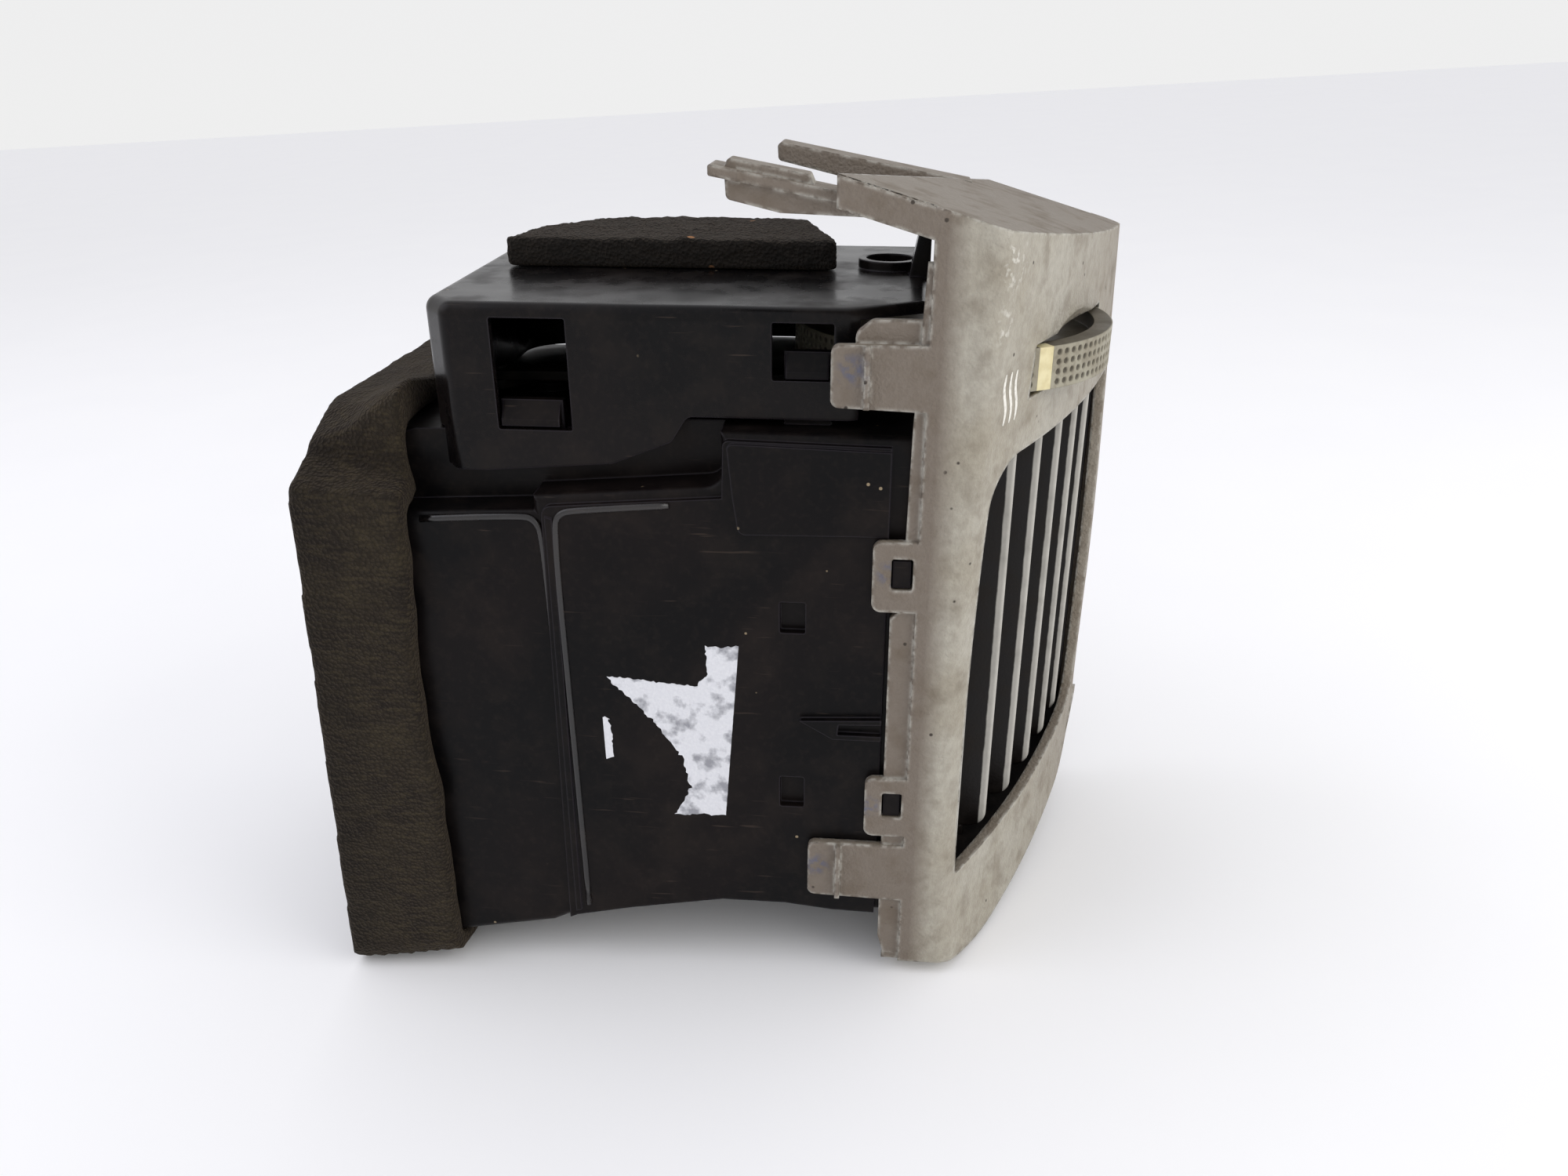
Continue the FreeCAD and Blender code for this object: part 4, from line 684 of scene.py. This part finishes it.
def makeLabel():
    low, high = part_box("paper_label")
    outside = toVentMatrix @ Vector((low[0], 0, 0))
    inside = toVentMatrix @ Vector((high[0], 0, 0))
    build = bmesh.new()
    for corners in (labelShape["label"], labelShape["sliver"]):
        outline = tornOutline(corners, labelShape["step"], labelShape["tear"], labelShape["seed"])
        rim = [build.verts.new((inside.x, p.x, p.y)) for p in outline]
        sheet = build.faces.new(rim)
        lifted = bmesh.ops.extrude_face_region(build, geom=[sheet])
        corners3d = [item for item in lifted["geom"] if isinstance(item, bmesh.types.BMVert)]
        bmesh.ops.translate(build, verts=corners3d, vec=(outside.x - inside.x, 0, 0))
    bmesh.ops.triangulate(build, faces=build.faces)
    bmesh.ops.recalc_face_normals(build, faces=build.faces)
    build.transform(toRowMatrix)
    mesh = bpy.data.meshes.new("tornLabel")
    build.to_mesh(mesh)
    build.free()
    label = newPiece("tornLabel", mesh, paper, "housing")
    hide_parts("paper_label")
    return label


makeLabel()

linesShape = {"xs": [4.9, 6.8, 8.7], "low": 29.9, "high": 39.2, "swing": 0.45, "width": 0.85, "points": 20,
              "slant": -1.2, "lift": 0.04}


def makeAirLines():
    # three wavy strokes printed beside the wheel, the usual sign for moving air
    shape = linesShape
    bezelMesh = mergedCopy("bezel")
    tree = BVHTree.FromPolygons([v.co for v in bezelMesh.vertices], [p.vertices for p in bezelMesh.polygons])
    build = bmesh.new()
    for startX in shape["xs"]:
        rails = []
        for index in range(shape["points"]):
            t = index / (shape["points"] - 1)
            z = shape["low"] + (shape["high"] - shape["low"]) * t
            x = startX + shape["slant"] * (t - 0.5) + shape["swing"] * math.sin(2 * math.pi * t)
            taper = shape["width"] * (0.35 + 0.65 * math.sin(math.pi * t) ** 0.5)
            for side in (-1, 1):
                start = toRow(x + side * taper / 2, -100.0, z)
                hit = tree.ray_cast(start, backAxis)[0]
                rails.append(build.verts.new(hit - backAxis * shape["lift"] * mm))
        for index in range(shape["points"] - 1):
            a = 2 * index
            build.faces.new((rails[a], rails[a + 1], rails[a + 3], rails[a + 2]))
    mesh = bpy.data.meshes.new("airLines")
    build.to_mesh(mesh)
    build.free()
    for polygon in mesh.polygons:
        if polygon.normal.dot(backAxis) > 0:
            polygon.flip()
    bpy.data.meshes.remove(bezelMesh)
    return newPiece("airLines", mesh, whiteInk, "housing")


makeAirLines()
print("label and print on")


def dimpleTree():
    # cuts rows of shallow round dimples into the rim of a wheel that turns about z
    tree = bpy.data.node_groups.new("RimDimples", "GeometryNodeTree")
    tree.interface.new_socket(name="Wheel", in_out="INPUT", socket_type="NodeSocketGeometry")
    for name, kind, value in (
            ("Radius", "NodeSocketFloat", wheelLook["radius"]),
            ("Pitch", "NodeSocketFloat", wheelLook["pitch"]),
            ("Rows", "NodeSocketInt", wheelLook["rows"]),
            ("Columns", "NodeSocketInt", wheelLook["columns"]),
            ("First Angle", "NodeSocketFloat", 0.0), ("Middle", "NodeSocketFloat", 0.0),
            ("Dimple Radius", "NodeSocketFloat", wheelLook["dimpleRadius"]),
            ("Sunk", "NodeSocketFloat", 0.3)):
        socket = tree.interface.new_socket(name=name, in_out="INPUT", socket_type=kind)
        socket.default_value = value
    tree.interface.new_socket(name="Material", in_out="INPUT", socket_type="NodeSocketMaterial")
    tree.interface.new_socket(name="Geometry", in_out="OUTPUT", socket_type="NodeSocketGeometry")
    given = addNode(tree, "NodeGroupInput").outputs
    index = addNode(tree, "GeometryNodeInputIndex").outputs[0]
    total = addNode(tree, "ShaderNodeMath", {0: given["Rows"], 1: given["Columns"]}, operation="MULTIPLY")
    points = addNode(tree, "GeometryNodePoints", {"Count": total.outputs[0]})
    column = addNode(tree, "ShaderNodeMath", {0: index, 1: given["Columns"]}, operation="MODULO")
    share = addNode(tree, "ShaderNodeMath", {0: index, 1: given["Columns"]}, operation="DIVIDE")
    row = addNode(tree, "ShaderNodeMath", {0: share.outputs[0]}, operation="FLOOR")
    step = addNode(tree, "ShaderNodeMath", {0: given["Pitch"], 1: given["Radius"]}, operation="DIVIDE")
    angle = addNode(tree, "ShaderNodeMath", {
        0: column.outputs[0], 1: step.outputs[0], 2: given["First Angle"]},
        operation="MULTIPLY_ADD").outputs[0]
    reach = addNode(tree, "ShaderNodeMath", {
        0: given["Radius"], 1: given["Sunk"]}, operation="ADD").outputs[0]
    across = addNode(tree, "ShaderNodeMath", {0: angle}, operation="COSINE")
    along = addNode(tree, "ShaderNodeMath", {0: angle}, operation="SINE")
    x = addNode(tree, "ShaderNodeMath", {0: across.outputs[0], 1: reach}, operation="MULTIPLY")
    y = addNode(tree, "ShaderNodeMath", {0: along.outputs[0], 1: reach}, operation="MULTIPLY")
    middleRow = addNode(tree, "ShaderNodeMath", {0: given["Rows"], 1: 0.5, 2: -0.5}, operation="MULTIPLY_ADD")
    fromMiddle = addNode(tree, "ShaderNodeMath", {
        0: row.outputs[0], 1: middleRow.outputs[0]}, operation="SUBTRACT")
    z = addNode(tree, "ShaderNodeMath", {
        0: fromMiddle.outputs[0], 1: given["Pitch"], 2: given["Middle"]}, operation="MULTIPLY_ADD")
    place = addNode(tree, "ShaderNodeCombineXYZ", {0: x.outputs[0], 1: y.outputs[0], 2: z.outputs[0]})
    placed = addNode(tree, "GeometryNodeSetPosition", {
        "Geometry": points.outputs[0], "Position": place.outputs[0]})
    ball = addNode(tree, "GeometryNodeMeshUVSphere", {
        "Segments": 10, "Rings": 6, "Radius": given["Dimple Radius"]})
    balls = addNode(tree, "GeometryNodeInstanceOnPoints", {
        "Points": placed.outputs[0], "Instance": ball.outputs[0]})
    solid = addNode(tree, "GeometryNodeRealizeInstances", {0: balls.outputs[0]})
    carved = addNode(tree, "GeometryNodeMeshBoolean", {
        0: given["Wheel"], 1: solid.outputs[0]}, operation="DIFFERENCE")
    realized = addNode(tree, "GeometryNodeRealizeInstances", {0: carved.outputs[0]})
    painted = addNode(tree, "GeometryNodeSetMaterial", {
        "Geometry": realized.outputs[0], "Material": given["Material"]})
    addNode(tree, "NodeGroupOutput", {0: painted.outputs[0]})
    return tree


def makeWheelRim():
    # the wheel's mesh in its own mm, dimpled, and put back
    toWheel = Matrix.Translation(-Vector((wheelPlace.x, wheelPlace.y, 0))) @ toVentMatrix
    draft = bpy.data.objects.new("wheelDraft", mergedCopy("thumbwheel", toWheel))
    bpy.context.scene.collection.objects.link(draft)
    heights = [corner.co.z for corner in draft.data.vertices
               if math.hypot(corner.co.x, corner.co.y) > wheelLook["radius"] - 0.2]
    tree = dimpleTree()
    carve = draft.modifiers.new("Dimples", "NODES")
    carve.node_group = tree
    names = {item.name: item.identifier for item in tree.interface.items_tree if item.in_out == "INPUT"}
    gapAngle = wheelLook["stripGap"] * wheelLook["pitch"] / wheelLook["radius"]
    firstAngle = math.radians(wheelLook["stripAngle"]) + gapAngle
    carve[names["First Angle"]] = firstAngle
    carve[names["Middle"]] = (min(heights) + max(heights)) / 2
    carve[names["Sunk"]] = wheelLook["depthShare"] * wheelLook["dimpleRadius"]
    carve[names["Material"]] = thumbedAcetal
    evaluated = draft.evaluated_get(bpy.context.evaluated_depsgraph_get())
    mesh = bpy.data.meshes.new_from_object(evaluated)
    bpy.data.objects.remove(draft)
    mesh.transform(toWheel.inverted())
    print("wheel faces", len(mesh.polygons))
    wheel = newPiece("dimpledWheel", mesh, thumbedAcetal, "thumbwheel")
    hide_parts("thumbwheel")
    return wheel


makeWheelRim()
print("wheel dimpled")


# stage, light and camera

def makeStage():
    reach = 4.0
    floorMesh = bpy.data.meshes.new("studioFloor")
    floorZ = cadBox[0][2] - 0.0005
    corners = [(x * reach, y * reach, floorZ) for x, y in ((-1, -1), (1, -1), (1, 1), (-1, 1))]
    floorMesh.from_pydata(corners, [], [(0, 1, 2, 3)])
    floor = bpy.data.objects.new("studioFloor", floorMesh)
    bpy.context.scene.collection.objects.link(floor)
    material, tree, shader, point = newMaterial("paleBackdropPaper")
    mottle = noiseValue(tree, point, 60.0, 2.0, 0.3, 0.7)
    color = layered(tree, hexColor("#fcfcfc"), [(times(tree, mottle, 0.3), "#f8f8f9")])
    tree.links.new(color, shader.inputs["Base Color"])
    shader.inputs["Roughness"].default_value = 0.9
    shader.inputs["Specular IOR Level"].default_value = 0.1
    floorMesh.materials.append(material)


lighting = {
    "world": 0.86, "worldUp": "#fafaff", "worldLow": "#ffffff",
    "key": {"at": (-0.30, -0.75, 0.45), "size": 0.7, "watts": 2.6, "color": (1.0, 0.985, 0.96)},
    "fill": {"at": (-0.10, 0.60, 0.75), "size": 0.8, "watts": 1.6, "color": (0.90, 0.90, 1.0)},
}


def makeLights():
    world = bpy.data.worlds.new("studio")
    world.use_nodes = True
    tree = world.node_tree
    background = tree.nodes["Background"]
    direction = addNode(tree, "ShaderNodeTexCoord")
    split = addNode(tree, "ShaderNodeSeparateXYZ", {0: direction.outputs["Generated"]})
    blend = addNode(tree, "ShaderNodeMapRange", {0: split.outputs["Z"], 1: 0.0, 2: 0.8})
    low = hexColor(lighting["worldLow"])
    high = hexColor(lighting["worldUp"])
    mixed = addNode(tree, "ShaderNodeMix", {0: blend.outputs[0], 6: low, 7: high}, data_type="RGBA")
    tree.links.new(mixed.outputs[2], background.inputs["Color"])
    background.inputs["Strength"].default_value = lighting["world"]
    bpy.context.scene.world = world
    middle = (Vector(cadBox[0]) + Vector(cadBox[1])) / 2
    for name in ("key", "fill"):
        facts = lighting[name]
        lamp = bpy.data.lights.new(name, "AREA")
        lamp.shape = "DISK"
        lamp.size = facts["size"]
        lamp.energy = facts["watts"]
        lamp.color = facts["color"]
        stand = bpy.data.objects.new(name, lamp)
        stand.location = facts["at"]
        stand.rotation_euler = (middle - Vector(facts["at"])).to_track_quat("-Z", "Y").to_euler()
        bpy.context.scene.collection.objects.link(stand)


# place on the vent's own axes, in mm, and the lens and sensor in mm
cameraPlace = {
    "at": (-193.4, -16.9, 90.5), "right": (0.0872, -0.9962, 0.0), "ahead": (0.9029, 0.0790, -0.4226),
    "lens": 27.0, "sensor": 36.0,
}


def makeCamera():
    lens = bpy.data.cameras.new("view")
    lens.lens = cameraPlace["lens"]
    lens.sensor_width = cameraPlace["sensor"]
    lens.clip_start = 0.01
    camera = bpy.data.objects.new("view", lens)
    right = turned(*cameraPlace["right"])
    ahead = turned(*cameraPlace["ahead"])
    up = right.cross(ahead)
    matrix = Matrix((right, up, -ahead)).transposed().to_4x4()
    matrix.translation = toRow(*cameraPlace["at"])
    camera.matrix_world = matrix
    bpy.context.scene.collection.objects.link(camera)
    bpy.context.scene.camera = camera


makeStage()
makeLights()
makeCamera()
bpy.context.scene.view_settings.view_transform = "Standard"
print("stage set")
